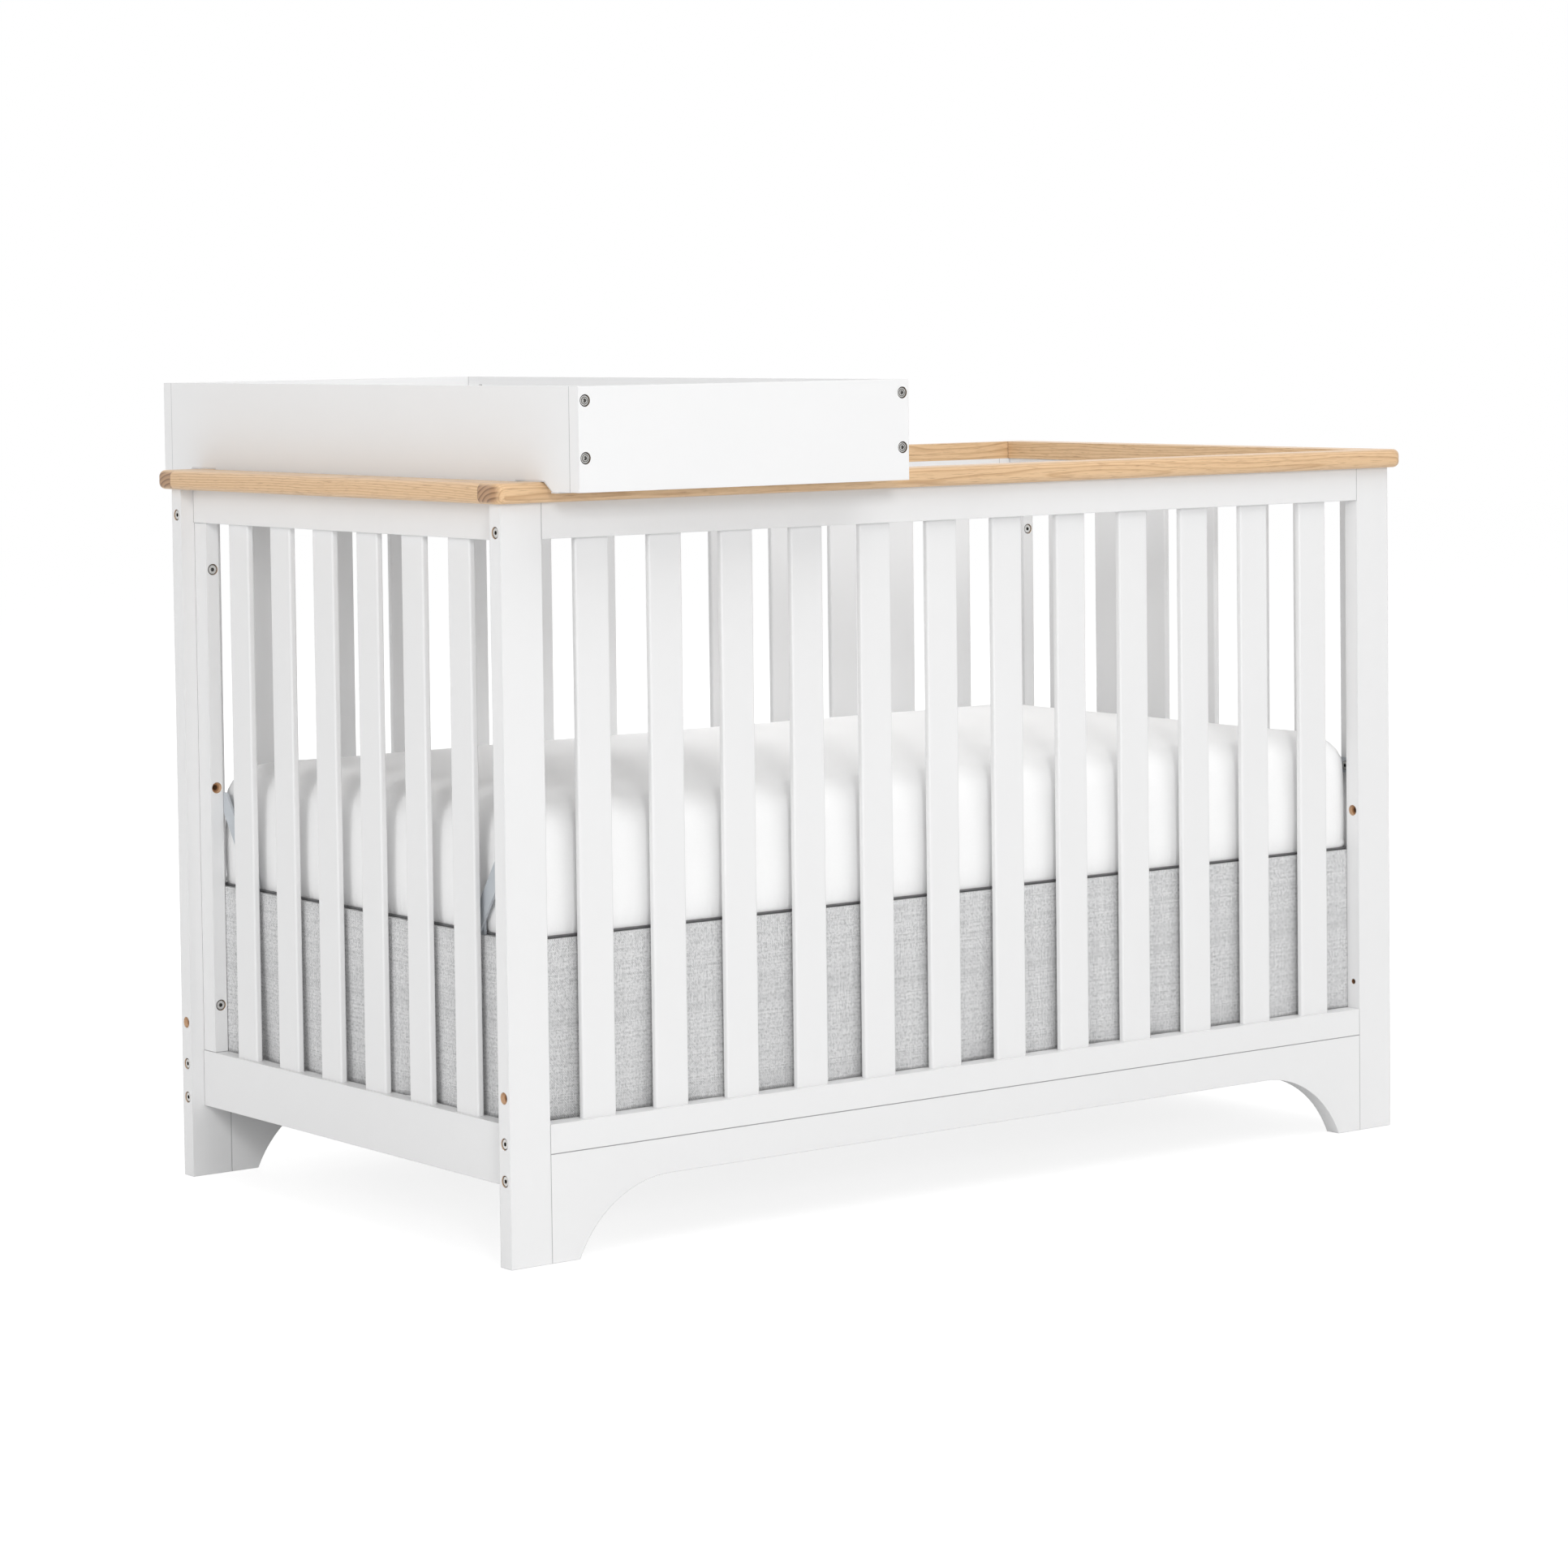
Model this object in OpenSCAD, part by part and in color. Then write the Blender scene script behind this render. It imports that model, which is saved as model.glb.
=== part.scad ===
// Crib with a removable changer tray, a mattress on a height-adjustable steel
// support, and a linen skirt. Millimetres. X runs along the crib, the front
// looks towards -Y, Z is up, and the feet stand on Z = 0. The origin is under
// the middle of the whole object, which is also the middle of the tray in Y.

/* [Crib frame] */
// Length over the stiles
crib_length = 1404; // [1300:1:1500]
// Width over the stiles
crib_width = 756; // [700:1:820]
// Height of the stiles, up to the cap rails
stile_height = 878; // [820:1:960]
// Width of a stile, seen from the front
stile_width = 56; // [46:1:70]
// Thickness of the front and rear frames
frame_thickness = 22.5; // [20:0.5:28]
// Height of the long top rails
top_rail_height = 42; // [36:1:60]
// Height of the long bottom rails
bottom_rail_height = 34.5; // [30:0.5:60]
// Height of the seam between bottom rail and apron
apron_top = 127; // [118:1:150]
// Height of the flat underside of the apron's arch
arch_height = 85; // [70:1:90]
// Width of the apron's foot at the floor
foot_width = 39; // [30:1:60]
// Radius of the arch's quarter curves
arch_radius = 142; // [110:1:180]

/* [End panels] */
// How far the end panels sit in from the stiles' outer edges
end_inset = 18; // [10:1:26]
// Thickness of the end rails
end_thickness = 19; // [18:0.5:24]
// Height of the end top rails
end_top_rail_height = 43; // [36:1:60]
// Height of the underside of the end bottom rails
end_rail_bottom = 90; // [80:1:110]
// Height of the end bottom rails
end_bottom_rail_height = 71; // [60:1:90]
// Width of the battens beside the stiles
batten_width = 29; // [26:1:40]
// How far a batten's outer face stands behind the end rails
batten_recess = 1; // [0:0.5:3]

/* [Slats] */
// Width of a slat
slat_width = 47; // [38:1:52]
// Thickness of a slat
slat_thickness = 9; // [8:0.5:12]
// Radius on a slat's long edges
slat_edge_radius = 2.5; // [1:0.5:4]
// Depth that a slat reaches into each rail
tenon_depth = 12; // [8:1:18]
// Number of slats in a long frame
long_slats = 12; // [10:1:13]
// Gap from stile to first slat
long_edge_gap = 51; // [40:1:60]
// Number of slats in an end panel
end_slats = 6; // [5:1:7]
// Gap from batten to first slat
end_edge_gap = 49.5; // [40:0.5:60]

/* [Cap rails] */
// Thickness of the cap rails
cap_thickness = 24; // [20:1:30]
// How far the caps reach out past the stiles
cap_overhang = 15; // [8:1:20]
// Radius of the caps' rounded outer edges
cap_edge_radius = 8; // [4:0.5:10]
// Radius of the cap corners, seen from above
cap_corner_radius = 14; // [12:1:20]
// How far the end caps reach past the end panels' inner faces
end_cap_lap = 3; // [0:1:10]

/* [Changer tray] */
// Size of the tray along the crib
tray_width = 475; // [420:1:540]
// Length of the side boards' lower edge outside each saddle notch
board_heel = 35.25; // [26:0.25:60]
// Height of the tray boards
tray_height = 120; // [100:1:150]
// Thickness of the tray boards
board_thickness = 18.5; // [16:0.5:22]
// Distance from the crib's left end to the tray
tray_from_end = 50; // [45:1:120]
// How far the tray sits behind the crib's middle
tray_back = 9; // [0:1:10]
// How far the tray boards reach below the caps' top
tray_drop = 11; // [6:1:18]
// Play of a saddle on its cap, at each side
saddle_play = 0.75; // [0.5:0.05:4]
// Run of the notch's outer slope
notch_outer_run = 16; // [10:1:20]
// Run of the notch's inner slope
notch_inner_run = 8; // [6:1:14]
// Thickness of the clear saddles
saddle_thickness = 1.5; // [1:0.1:2.5]
// Length of the foot that a saddle turns out under the board
saddle_foot = 14; // [8:1:20]
// Thickness of the tray's base panel
base_thickness = 5; // [4:0.5:8]
// Height of the base panel above the boards' lower edge
base_height = 16; // [15:1:30]
// Depth of the groove that holds the base panel
groove_depth = 6; // [4:0.5:8]
// Distance from the boards' upper edge to the upper bolts
tray_bolt_edge = 16; // [12:1:20]
// Height of the lower bolts above the boards' lower edge
tray_bolt_foot = 39; // [32:1:46]

/* [Mattress and skirt] */
// Gap from each end of the mattress to the support's steel ears
mattress_end_gap = 1.5; // [1:0.1:20]
// Gap from each side of the mattress to the long frames
mattress_side_gap = 6; // [3:0.5:20]
// Thickness of the mattress at its rim
mattress_thickness = 161; // [120:1:170]
// Rise of the mattress top's middle over its rim
mattress_crown = 5; // [2:1:12]
// Radius of the mattress corners, seen from above
mattress_corner_radius = 12; // [8:1:40]
// Radius of the mattress's upper edge
mattress_edge_radius = 42; // [20:1:50]
// Height of the rounding above the mattress's lower seam
mattress_seam_round = 10; // [6:1:30]
// How far the mattress's sides swell between the seams
mattress_side_swell = 1.5; // [0.5:0.5:4]
// Diameter of the piping along the mattress's lower edge
piping_diameter = 3; // [2:0.5:6]
// How far the piping stands back from the mattress's widest line
piping_back = 1; // [0.5:0.5:3]
// Length of the skirt below the deck
skirt_drop = 212; // [150:1:215]
// Thickness of the skirt cloth
skirt_thickness = 1.2; // [1:0.1:2]
// Number of soft folds along the skirt's long sides
skirt_long_folds = 9; // [5:1:12]
// Number of soft folds along the skirt's ends
skirt_end_folds = 5; // [3:1:7]
// Depth of the folds at the hem
skirt_fold_depth = 6; // [2:0.5:10]

/* [Mattress support] */
// Height of the deck that the mattress lies on
deck_height = 370; // [360:1:400]
// Number of heights that the support can be bolted at
support_positions = 3; // [2:1:3]
// Distance between two of those heights
position_step = 75; // [60:1:75]
// Height of the hanger bolts above the deck
hanger_rise = 112; // [100:1:130]
// Thickness of the steel plate of the hangers and end bars
plate_thickness = 3; // [2:0.5:3]
// Width of the hanger arms and depth of the end bars
plate_width = 20; // [18:1:24]
// Slope of the hanger arms from level, in degrees
arm_slope = 56; // [50:1:65]
// Leg of the steel angle of the long support rails
angle_leg = 25; // [20:1:30]
// Thickness of that angle
angle_thickness = 3; // [2:0.5:4]
// Height of the arms' lower rivets above the deck
rivet_height = 16; // [14:0.5:20]
// Distance from a batten's edge to the bend of its hanger arm
arm_bend_gap = 1.5; // [1:0.5:6]
// Gap from the support to the long frames
support_side_gap = 14; // [10:1:18]
// Distance from the support's ends to the outermost straps
strap_end_gap = 20; // [12:1:40]
// Number of steel straps across the support
strap_count = 10; // [10:1:12]
// Width of a strap
strap_width = 32; // [20:1:40]
// Thickness of a strap
strap_thickness = 2; // [1.5:0.5:3]

/* [Hardware] */
// Diameter of the bolts' shanks
bolt_diameter = 6; // [5:0.5:7]
// Diameter of the bolt heads
head_diameter = 12; // [11:0.5:13]
// Height of the bolt heads
head_height = 4; // [3:0.5:4.5]
// Across-flats size of the hexagon sockets
socket_flats = 4; // [3:0.5:5]
// Diameter of the counterbores
counterbore_diameter = 14; // [13.5:0.5:16]
// Depth of the counterbores
counterbore_depth = 5; // [4.5:0.5:6]
// Diameter of the barrel nuts
barrel_diameter = 10; // [9:0.5:12]
// Distance from a joint's seam to its barrel nut
barrel_distance = 30; // [25:1:38]
// Diameter of the tray's barrel nuts
tray_barrel_diameter = 12; // [9:0.5:12.5]
// Diameter of the rivets in the hanger arms
rivet_diameter = 6; // [4:0.5:7]
// Diameter of the threaded inserts
insert_diameter = 10; // [9:0.5:11]
// Length of the threaded inserts
insert_length = 13; // [10:0.5:14]
// Diameter of the wooden dowels
dowel_diameter = 8; // [6:0.5:8]
// Length of the wooden dowels
dowel_length = 40; // [30:1:40]
// Distance of the upper frame bolts below the caps
upper_bolt_drop = 33; // [26:1:33]
// Height of the bolts into the bottom rails above the aprons
rail_bolt_rise = 17; // [16:1:18]
// Distance of the bolts into the aprons below the bottom rails
apron_bolt_drop = 26; // [21:1:27]
// Height of the through holes for a conversion rail
low_hole_z = 197; // [185:1:210]
// Height of the blind holes for a conversion rail
high_hole_z = 425; // [400:1:450]
// Depth of the blind holes
blind_hole_depth = 30; // [20:1:40]
// Height of the battens' lowest bolts above the end bottom rails
batten_bolt_rise = 60; // [50:1:70]
// Distance of the battens' highest bolts below the end top rails
batten_bolt_drop = 59; // [50:1:70]

/* [Fits] */
// Gap round a tenon in its mortise
tenon_clearance = 0.15; // [0.1:0.05:0.3]
// Radial gap round a bolt shank
bolt_clearance = 0.5; // [0.3:0.1:0.8]
// Radial gap round nuts, inserts and dowels
nut_clearance = 0.05; // [0.05:0.05:0.2]
// Gap between soft pieces or hangers and what they pass
running_gap = 0.3; // [0.2:0.1:0.4]

/* [Hidden] */
$fn = 48;

// Colours, as painted or bare
paint = "white";
paint_end = "gainsboro";
bare_wood = "burlywood";
nickel = "silver";
steel = "slategray";

// Long way that a cutter runs past the face it opens
past = 1;

// Frame positions
half_length = crib_length / 2;
half_width = crib_width / 2;
crib_y = -tray_back;
rail_span = crib_length - 2 * stile_width;
bottom_rail_top = apron_top + bottom_rail_height;
top_rail_bottom = stile_height - top_rail_height;
upper_bolt_z = stile_height - upper_bolt_drop;
rail_bolt_z = apron_top + rail_bolt_rise;
apron_bolt_z = apron_top - apron_bolt_drop;
slat_y = (frame_thickness - slat_thickness) / 2;
cap_top = stile_height + cap_thickness;

// End panel positions, counted inwards from the stiles' outer edges
end_face = end_inset;
end_inner = end_inset + end_thickness;
panel_span = crib_width - 2 * frame_thickness;
batten_thickness = end_thickness - batten_recess;
end_slat_x = end_face + (end_thickness - slat_thickness) / 2;
end_rail_top = end_rail_bottom + end_bottom_rail_height;
end_top_rail_bottom = stile_height - end_top_rail_height;
batten_mid_x = end_inner - batten_thickness / 2;
batten_mid_y = half_width - frame_thickness - batten_width / 2;

// Slat spacing
long_pitch = (rail_span - 2 * long_edge_gap - slat_width) / (long_slats - 1);
end_opening = panel_span - 2 * batten_width;
end_pitch = (end_opening - 2 * end_edge_gap - slat_width) / (end_slats - 1);

// Arch of the apron: arcs that meet the floor at the foot and the flat
// underside at arch_start
arch_drop = arch_radius - arch_height;
arch_run = sqrt(arch_radius * arch_radius - arch_drop * arch_drop);
foot_end = half_length - stile_width - foot_width;
arch_start = foot_end - arch_run;

// Tray positions
tray_left = -half_length + tray_from_end;
tray_mid_x = tray_left + tray_width / 2;
tray_half_x = tray_width / 2;
cap_width = frame_thickness + cap_overhang;
notch_width = cap_width + 2 * (tray_back + saddle_thickness + saddle_play);
tray_bottom = cap_top - tray_drop;
notch_top = cap_top + saddle_thickness;
cap_mid_y = half_width + (cap_overhang - frame_thickness) / 2;
notch_end_y = cap_mid_y + notch_width / 2 + notch_outer_run;
tray_half_y = notch_end_y + board_heel + board_thickness;
tray_length = 2 * tray_half_y;
tray_bolt_inset = board_thickness / 2;
tray_bolt_high = tray_height - tray_bolt_edge;
tray_bolt_low = tray_bolt_foot;

// Support positions
bar_outer = end_inner + running_gap + plate_thickness;
bar_inner = bar_outer + plate_thickness;
arm_low_z = deck_height + rivet_height;
hanger_z = deck_height + hanger_rise;
arm_tab_y = batten_mid_y;
arm_bend_y = arm_tab_y - batten_width / 2 - arm_bend_gap;
arm_foot_y = arm_bend_y - (hanger_z - arm_low_z) / tan(arm_slope);
strap_bottom = deck_height - strap_thickness;
support_half_x = half_length - bar_inner;
support_half_y = half_width - frame_thickness - support_side_gap;
strap_pitch = (2 * (support_half_x - strap_end_gap) - strap_width) / (strap_count - 1);

// Soft pieces
skirt_half_x = half_length - end_inner - 2 * running_gap;
skirt_half_y = half_width - frame_thickness - 2 * running_gap;
skirt_corner = 2;
skirt_top = deck_height + running_gap + skirt_thickness;
mattress_bottom = skirt_top + running_gap;
mattress_half_x = half_length - bar_inner - mattress_end_gap;
mattress_half_y = half_width - frame_thickness - mattress_side_gap;
piping_z = mattress_bottom + piping_diameter / 2 + running_gap;
seam_inset = piping_back + piping_diameter / 2 + running_gap;
seam_rise = piping_diameter + 2 * running_gap;

// ---- helpers ----

// Places a piece of a long frame, drawn with its outer face on y = 0
module in_frame(rear) {
  translate([0, crib_y + (rear ? half_width : -half_width), 0])
    mirror([0, rear ? 1 : 0, 0])
      children();
}

// Places a piece of an end panel, drawn with the stiles' outer edge on x = 0
// and y counted from the crib's middle
module in_end(right) {
  translate([right ? half_length : -half_length, crib_y, 0])
    mirror([right ? 1 : 0, 0, 0])
      children();
}

// Repeats its children at all four corners, drawn for the front left one
// with x and y counted from the crib's middle
module at_corners() {
  translate([0, crib_y, 0])
    for (mx = [0, 1], my = [0, 1])
      mirror([mx, 0, 0])
        mirror([0, my, 0])
          children();
}

// Box from one corner to the opposite one
module box(low, high) {
  translate(low)
    cube(high - low);
}

// Cylinder along +X from a point
module rod_x(point, length, diameter) {
  translate(point)
    rotate([0, 90, 0])
      cylinder(h = length, d = diameter);
}

// Cylinder along +Y from a point
module rod_y(point, length, diameter) {
  translate(point)
    rotate([-90, 0, 0])
      cylinder(h = length, d = diameter);
}

// Flat outline with every corner rounded by true arcs
module rounded_outline(size, radius) {
  translate([0, radius])
    square([size.x, size.y - 2 * radius]);
  translate([radius, 0])
    square([size.x - 2 * radius, size.y]);
  for (x = [radius, size.x - radius], y = [radius, size.y - radius])
    translate([x, y])
      circle(r = radius);
}

// Hexagon-socket bolt: the head's seat is on z = 0, the shank runs to +Z
module bolt(length) {
  difference() {
    union() {
      translate([0, 0, -head_height])
        cylinder(h = head_height, d = head_diameter);
      cylinder(h = length, d = bolt_diameter);
    }
    translate([0, 0, -head_height - past])
      cylinder(h = head_height * 0.6 + past, d = socket_flats / cos(30), $fn = 6);
  }
}

// Clearance hole with its counterbore, cut from z = 0 towards +Z
module bolt_hole(length) {
  translate([0, 0, -past])
    cylinder(h = counterbore_depth + past, d = counterbore_diameter);
  cylinder(h = length, d = bolt_diameter + 2 * bolt_clearance);
}

// ---- long frames ----

// Heights at which a stile is bolted to the pieces between the stiles
frame_bolt_heights = [upper_bolt_z, rail_bolt_z, apron_bolt_z];
batten_bolt_z = end_rail_top + batten_bolt_rise;
batten_bolt_step = (end_top_rail_bottom - batten_bolt_drop - batten_bolt_z) / 2;
batten_hole_heights = [for (i = [0 : 2]) batten_bolt_z + i * batten_bolt_step];
// The middle batten hole stays empty, as the photographed one does
panel_bolt_heights = [batten_hole_heights[0], batten_hole_heights[2]];

module stile(rear, right) {
  color(paint)
    in_frame(rear)
      mirror([right ? 1 : 0, 0, 0])
        translate([-half_length, 0, 0])
          difference() {
            cube([stile_width, frame_thickness, stile_height]);
            // Frame bolts and the through hole for a conversion rail
            for (z = concat(frame_bolt_heights, [low_hole_z]))
              translate([0, frame_thickness / 2, z])
                rotate([0, 90, 0])
                  bolt_hole(stile_width + past);
            // Blind hole for a conversion rail in the inner edge
            translate([stile_width, frame_thickness / 2, high_hole_z])
              rotate([0, -90, 0])
                bolt_hole(blind_hole_depth);
            // Threaded inserts for the end panels
            for (z = panel_bolt_heights)
              rod_y([batten_mid_x, frame_thickness - insert_length, z],
                insert_length + past, insert_diameter + 2 * nut_clearance);
            // The empty batten hole runs on into the stile
            rod_y([batten_mid_x, frame_thickness - insert_length, batten_hole_heights[1]],
              insert_length + past, bolt_diameter + 2 * bolt_clearance);
            // Dowel into the cap
            translate([stile_width / 2, frame_thickness / 2, stile_height - dowel_length + cap_dowel_up])
              dowel_bore();
          }
}

// Rail between the stiles with mortises and the holes of its end bolts
module long_rail(rear, bottom, height, bolt_z, mortise_up) {
  color(paint)
    in_frame(rear)
      difference() {
        box([-rail_span / 2, 0, bottom], [rail_span / 2, frame_thickness, bottom + height]);
        for (i = [0 : long_slats - 1])
          translate([long_slat_x(i), slat_y, mortise_up ? bottom + height - tenon_depth : bottom])
            mortise(slat_width, slat_thickness);
        rail_end_holes(bolt_z);
        if (mortise_up)
          apron_dowel_bores();
        else
          long_cap_dowel_bores();
      }
}

// Holes in both ends of a piece between the stiles, for bolt and barrel nut
module rail_end_holes(bolt_z) {
  for (side = [0, 1])
    mirror([side, 0, 0])
      translate([-rail_span / 2, 0, bolt_z]) {
        rod_x([-past, frame_thickness / 2, 0], barrel_distance + barrel_diameter + past,
          bolt_diameter + 2 * bolt_clearance);
        rod_y([barrel_distance, barrel_floor, 0], frame_thickness - barrel_floor + past,
          barrel_diameter + 2 * nut_clearance);
      }
}

// Thickness of wood left in front of a frame's barrel nuts
barrel_floor = 4;

module mortise(width, depth) {
  translate([-tenon_clearance, -tenon_clearance, -past])
    cube([width + 2 * tenon_clearance, depth + 2 * tenon_clearance, tenon_depth + 2 * past]);
}

// Left edge of slat i in a long frame, and of slat i in an end panel
function long_slat_x(i) = -rail_span / 2 + long_edge_gap + i * long_pitch;
function end_slat_y(i) = -end_opening / 2 + end_edge_gap + i * end_pitch;

module slat(width, depth, bottom, top) {
  translate([0, 0, bottom])
    linear_extrude(top - bottom)
      rounded_outline([width, depth], slat_edge_radius);
}

module long_frame_slats(rear) {
  color(paint)
    in_frame(rear)
      for (i = [0 : long_slats - 1])
        translate([long_slat_x(i), slat_y, 0])
          slat(slat_width, slat_thickness, bottom_rail_top - tenon_depth, top_rail_bottom + tenon_depth);
}

module apron(rear) {
  color(paint)
    in_frame(rear)
      difference() {
        translate([0, frame_thickness, 0])
          rotate([90, 0, 0])
            linear_extrude(frame_thickness)
              apron_outline();
        rail_end_holes(apron_bolt_z);
        apron_dowel_bores();
      }
}

// Apron seen from the front: a board with an arch cut out between its feet
module apron_outline() {
  difference() {
    translate([-rail_span / 2, 0])
      square([rail_span, apron_top]);
    translate([-arch_start, -past])
      square([2 * arch_start, arch_height + past]);
    for (side = [-1, 1])
      translate([side * arch_start, -arch_drop])
        circle(r = arch_radius, $fn = 180);
  }
}

// ---- end panels ----

module end_rail(right, bottom, height, mortise_up) {
  color(paint_end)
    in_end(right)
      difference() {
        box([end_face, -panel_span / 2, bottom], [end_inner, panel_span / 2, bottom + height]);
        for (i = [0 : end_slats - 1])
          translate([end_slat_x, end_slat_y(i), mortise_up ? bottom + height - tenon_depth : bottom])
            mortise(slat_thickness, slat_width);
        if (!mortise_up)
          end_cap_dowel_bores();
      }
}

module batten(right, rear) {
  color(paint_end)
    in_end(right)
      mirror([0, rear ? 0 : 1, 0])
        difference() {
          box([end_inner - batten_thickness, panel_span / 2 - batten_width, end_rail_top],
            [end_inner, panel_span / 2, end_top_rail_bottom]);
          for (z = batten_hole_heights)
            translate([batten_mid_x, panel_span / 2 - batten_width, z])
              rotate([-90, 0, 0])
                bolt_hole(batten_width + past);
          for (z = hanger_heights)
            rod_x([end_inner - insert_length, batten_mid_y, z], insert_length + past,
              insert_diameter + 2 * nut_clearance);
        }
}

module end_panel_slats(right) {
  color(paint_end)
    in_end(right)
      for (i = [0 : end_slats - 1])
        translate([end_slat_x, end_slat_y(i), 0])
          slat(slat_thickness, slat_width, end_rail_top - tenon_depth, end_top_rail_bottom + tenon_depth);
}

// ---- cap rails ----

// Cross-section of a cap with its rounded outer edge at x = width
module cap_profile(width) {
  intersection() {
    square([width, cap_thickness]);
    union() {
      square([width - cap_edge_radius, cap_thickness]);
      translate([0, cap_edge_radius])
        square([width, cap_thickness - 2 * cap_edge_radius]);
      for (y = [cap_edge_radius, cap_thickness - cap_edge_radius])
        translate([width - cap_edge_radius, y])
          circle(r = cap_edge_radius);
    }
  }
}

// Long cap, rounded along the front and round both ends
module long_cap(rear) {
  reach = cap_overhang + frame_thickness;
  corner_x = half_length + cap_overhang - cap_corner_radius;
  color(bare_wood)
    in_frame(rear)
      translate([0, frame_thickness, stile_height])
        difference() {
          union() {
            // Straight run
            translate([-corner_x, 0, 0])
              rotate([90, 0, 90])
                mirror([1, 0, 0])
                  linear_extrude(2 * corner_x)
                    cap_profile(reach);
            for (side = [0, 1])
              mirror([side, 0, 0])
                translate([corner_x, 0, 0]) {
                  // End, rounded outwards
                  translate([0, cap_corner_radius - reach, 0])
                    mirror([0, 1, 0])
                      rotate([90, 0, 0])
                        linear_extrude(reach - cap_corner_radius)
                          cap_profile(cap_corner_radius);
                  // Corner
                  translate([0, cap_corner_radius - reach, 0])
                    rotate([0, 0, -90])
                      rotate_extrude(angle = 90)
                        cap_profile(cap_corner_radius);
                }
          }
          translate([0, -frame_thickness, -stile_height]) {
            long_cap_dowel_bores();
            for (side = [-1, 1])
              translate([side * (half_length - stile_width / 2), frame_thickness / 2,
                stile_height - dowel_length + cap_dowel_up])
                dowel_bore();
          }
        }
}

// End cap between the long caps, rounded along its outer edge
module end_cap(right) {
  reach = cap_overhang + end_inner + end_cap_lap;
  color(bare_wood)
    in_end(right)
      difference() {
        translate([end_inner + end_cap_lap, panel_span / 2, stile_height])
          rotate([90, 0, 0])
            mirror([1, 0, 0])
              linear_extrude(panel_span)
                cap_profile(reach);
        end_cap_dowel_bores();
      }
}

// ---- dowels ----

// How far a dowel stands up into the cap
cap_dowel_up = cap_thickness / 2;
// How far an apron dowel stands up into the bottom rail
apron_dowel_up = dowel_length / 2;
long_dowel_places = [-0.36, -0.12, 0.12, 0.36];
end_dowel_places = [-0.3, 0.3];

module dowel_bore() {
  cylinder(h = dowel_length, d = dowel_diameter + 2 * nut_clearance);
}

// Places children at each dowel of a long cap, drawn in frame coordinates
module at_long_cap_dowels() {
  for (place = long_dowel_places)
    translate([place * rail_span, frame_thickness / 2, stile_height - dowel_length + cap_dowel_up])
      children();
}

module at_end_cap_dowels() {
  for (place = end_dowel_places)
    translate([end_face + end_thickness / 2, place * panel_span, stile_height - dowel_length + cap_dowel_up])
      children();
}

module at_apron_dowels() {
  for (place = long_dowel_places)
    translate([place * rail_span, frame_thickness / 2, apron_top - dowel_length + apron_dowel_up])
      children();
}

module long_cap_dowel_bores() {
  at_long_cap_dowels()
    dowel_bore();
}

module end_cap_dowel_bores() {
  at_end_cap_dowels()
    dowel_bore();
}

module apron_dowel_bores() {
  at_apron_dowels()
    dowel_bore();
}

module dowel() {
  translate([0, 0, 0.5])
    cylinder(h = dowel_length - 1, d = dowel_diameter);
}

module cap_dowels() {
  color(bare_wood) {
    for (rear = [false, true])
      in_frame(rear) {
        at_long_cap_dowels()
          dowel();
        for (side = [-1, 1])
          translate([side * (half_length - stile_width / 2), frame_thickness / 2,
            stile_height - dowel_length + cap_dowel_up])
            dowel();
      }
    for (right = [false, true])
      in_end(right)
        at_end_cap_dowels()
          dowel();
  }
}

module apron_dowels() {
  color(bare_wood)
    for (rear = [false, true])
      in_frame(rear)
        at_apron_dowels()
          dowel();
}

// ---- frame hardware ----

module frame_bolts() {
  color(nickel)
    at_corners()
      for (z = frame_bolt_heights)
        translate([counterbore_depth - half_length, frame_thickness / 2 - half_width, z])
          rotate([0, 90, 0])
            bolt(stile_width - counterbore_depth + barrel_distance + barrel_diameter / 2);
}

// Barrel nut along +Z with its cross hole for the bolt, half way up
module barrel_nut(diameter, length) {
  difference() {
    cylinder(h = length, d = diameter);
    translate([-diameter, 0, length / 2])
      rotate([0, 90, 0])
        cylinder(h = 2 * diameter, d = bolt_diameter + 2 * nut_clearance);
  }
}

module frame_barrel_nuts() {
  nut_length = 2 * (frame_thickness / 2 - barrel_floor);
  color(nickel)
    at_corners()
      for (z = frame_bolt_heights)
        translate([stile_width + barrel_distance - half_length, barrel_floor - half_width, z])
          rotate([-90, 0, 0])
            barrel_nut(barrel_diameter, nut_length);
}

module panel_bolts() {
  color(nickel)
    at_corners()
      for (z = panel_bolt_heights)
        translate([batten_mid_x - half_length, batten_width - counterbore_depth - panel_span / 2, z])
          rotate([90, 0, 0])
            bolt(batten_width - counterbore_depth + insert_length - 1);
}

// Threaded insert along +Z
module insert() {
  difference() {
    cylinder(h = insert_length, d = insert_diameter);
    translate([0, 0, -past])
      cylinder(h = insert_length + 2 * past, d = bolt_diameter + 2 * nut_clearance);
  }
}

module panel_inserts() {
  color(nickel)
    at_corners()
      for (z = panel_bolt_heights)
        translate([batten_mid_x - half_length, frame_thickness - insert_length - half_width, z])
          rotate([-90, 0, 0])
            insert();
}

// Heights of the inserts for the support's hangers
hanger_heights = [for (i = [0 : support_positions - 1]) hanger_z - i * position_step];

module hanger_inserts() {
  color(nickel)
    at_corners()
      for (z = hanger_heights)
        translate([end_inner - insert_length - half_length, -batten_mid_y, z])
          rotate([0, 90, 0])
            insert();
}

// ---- changer tray ----

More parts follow.
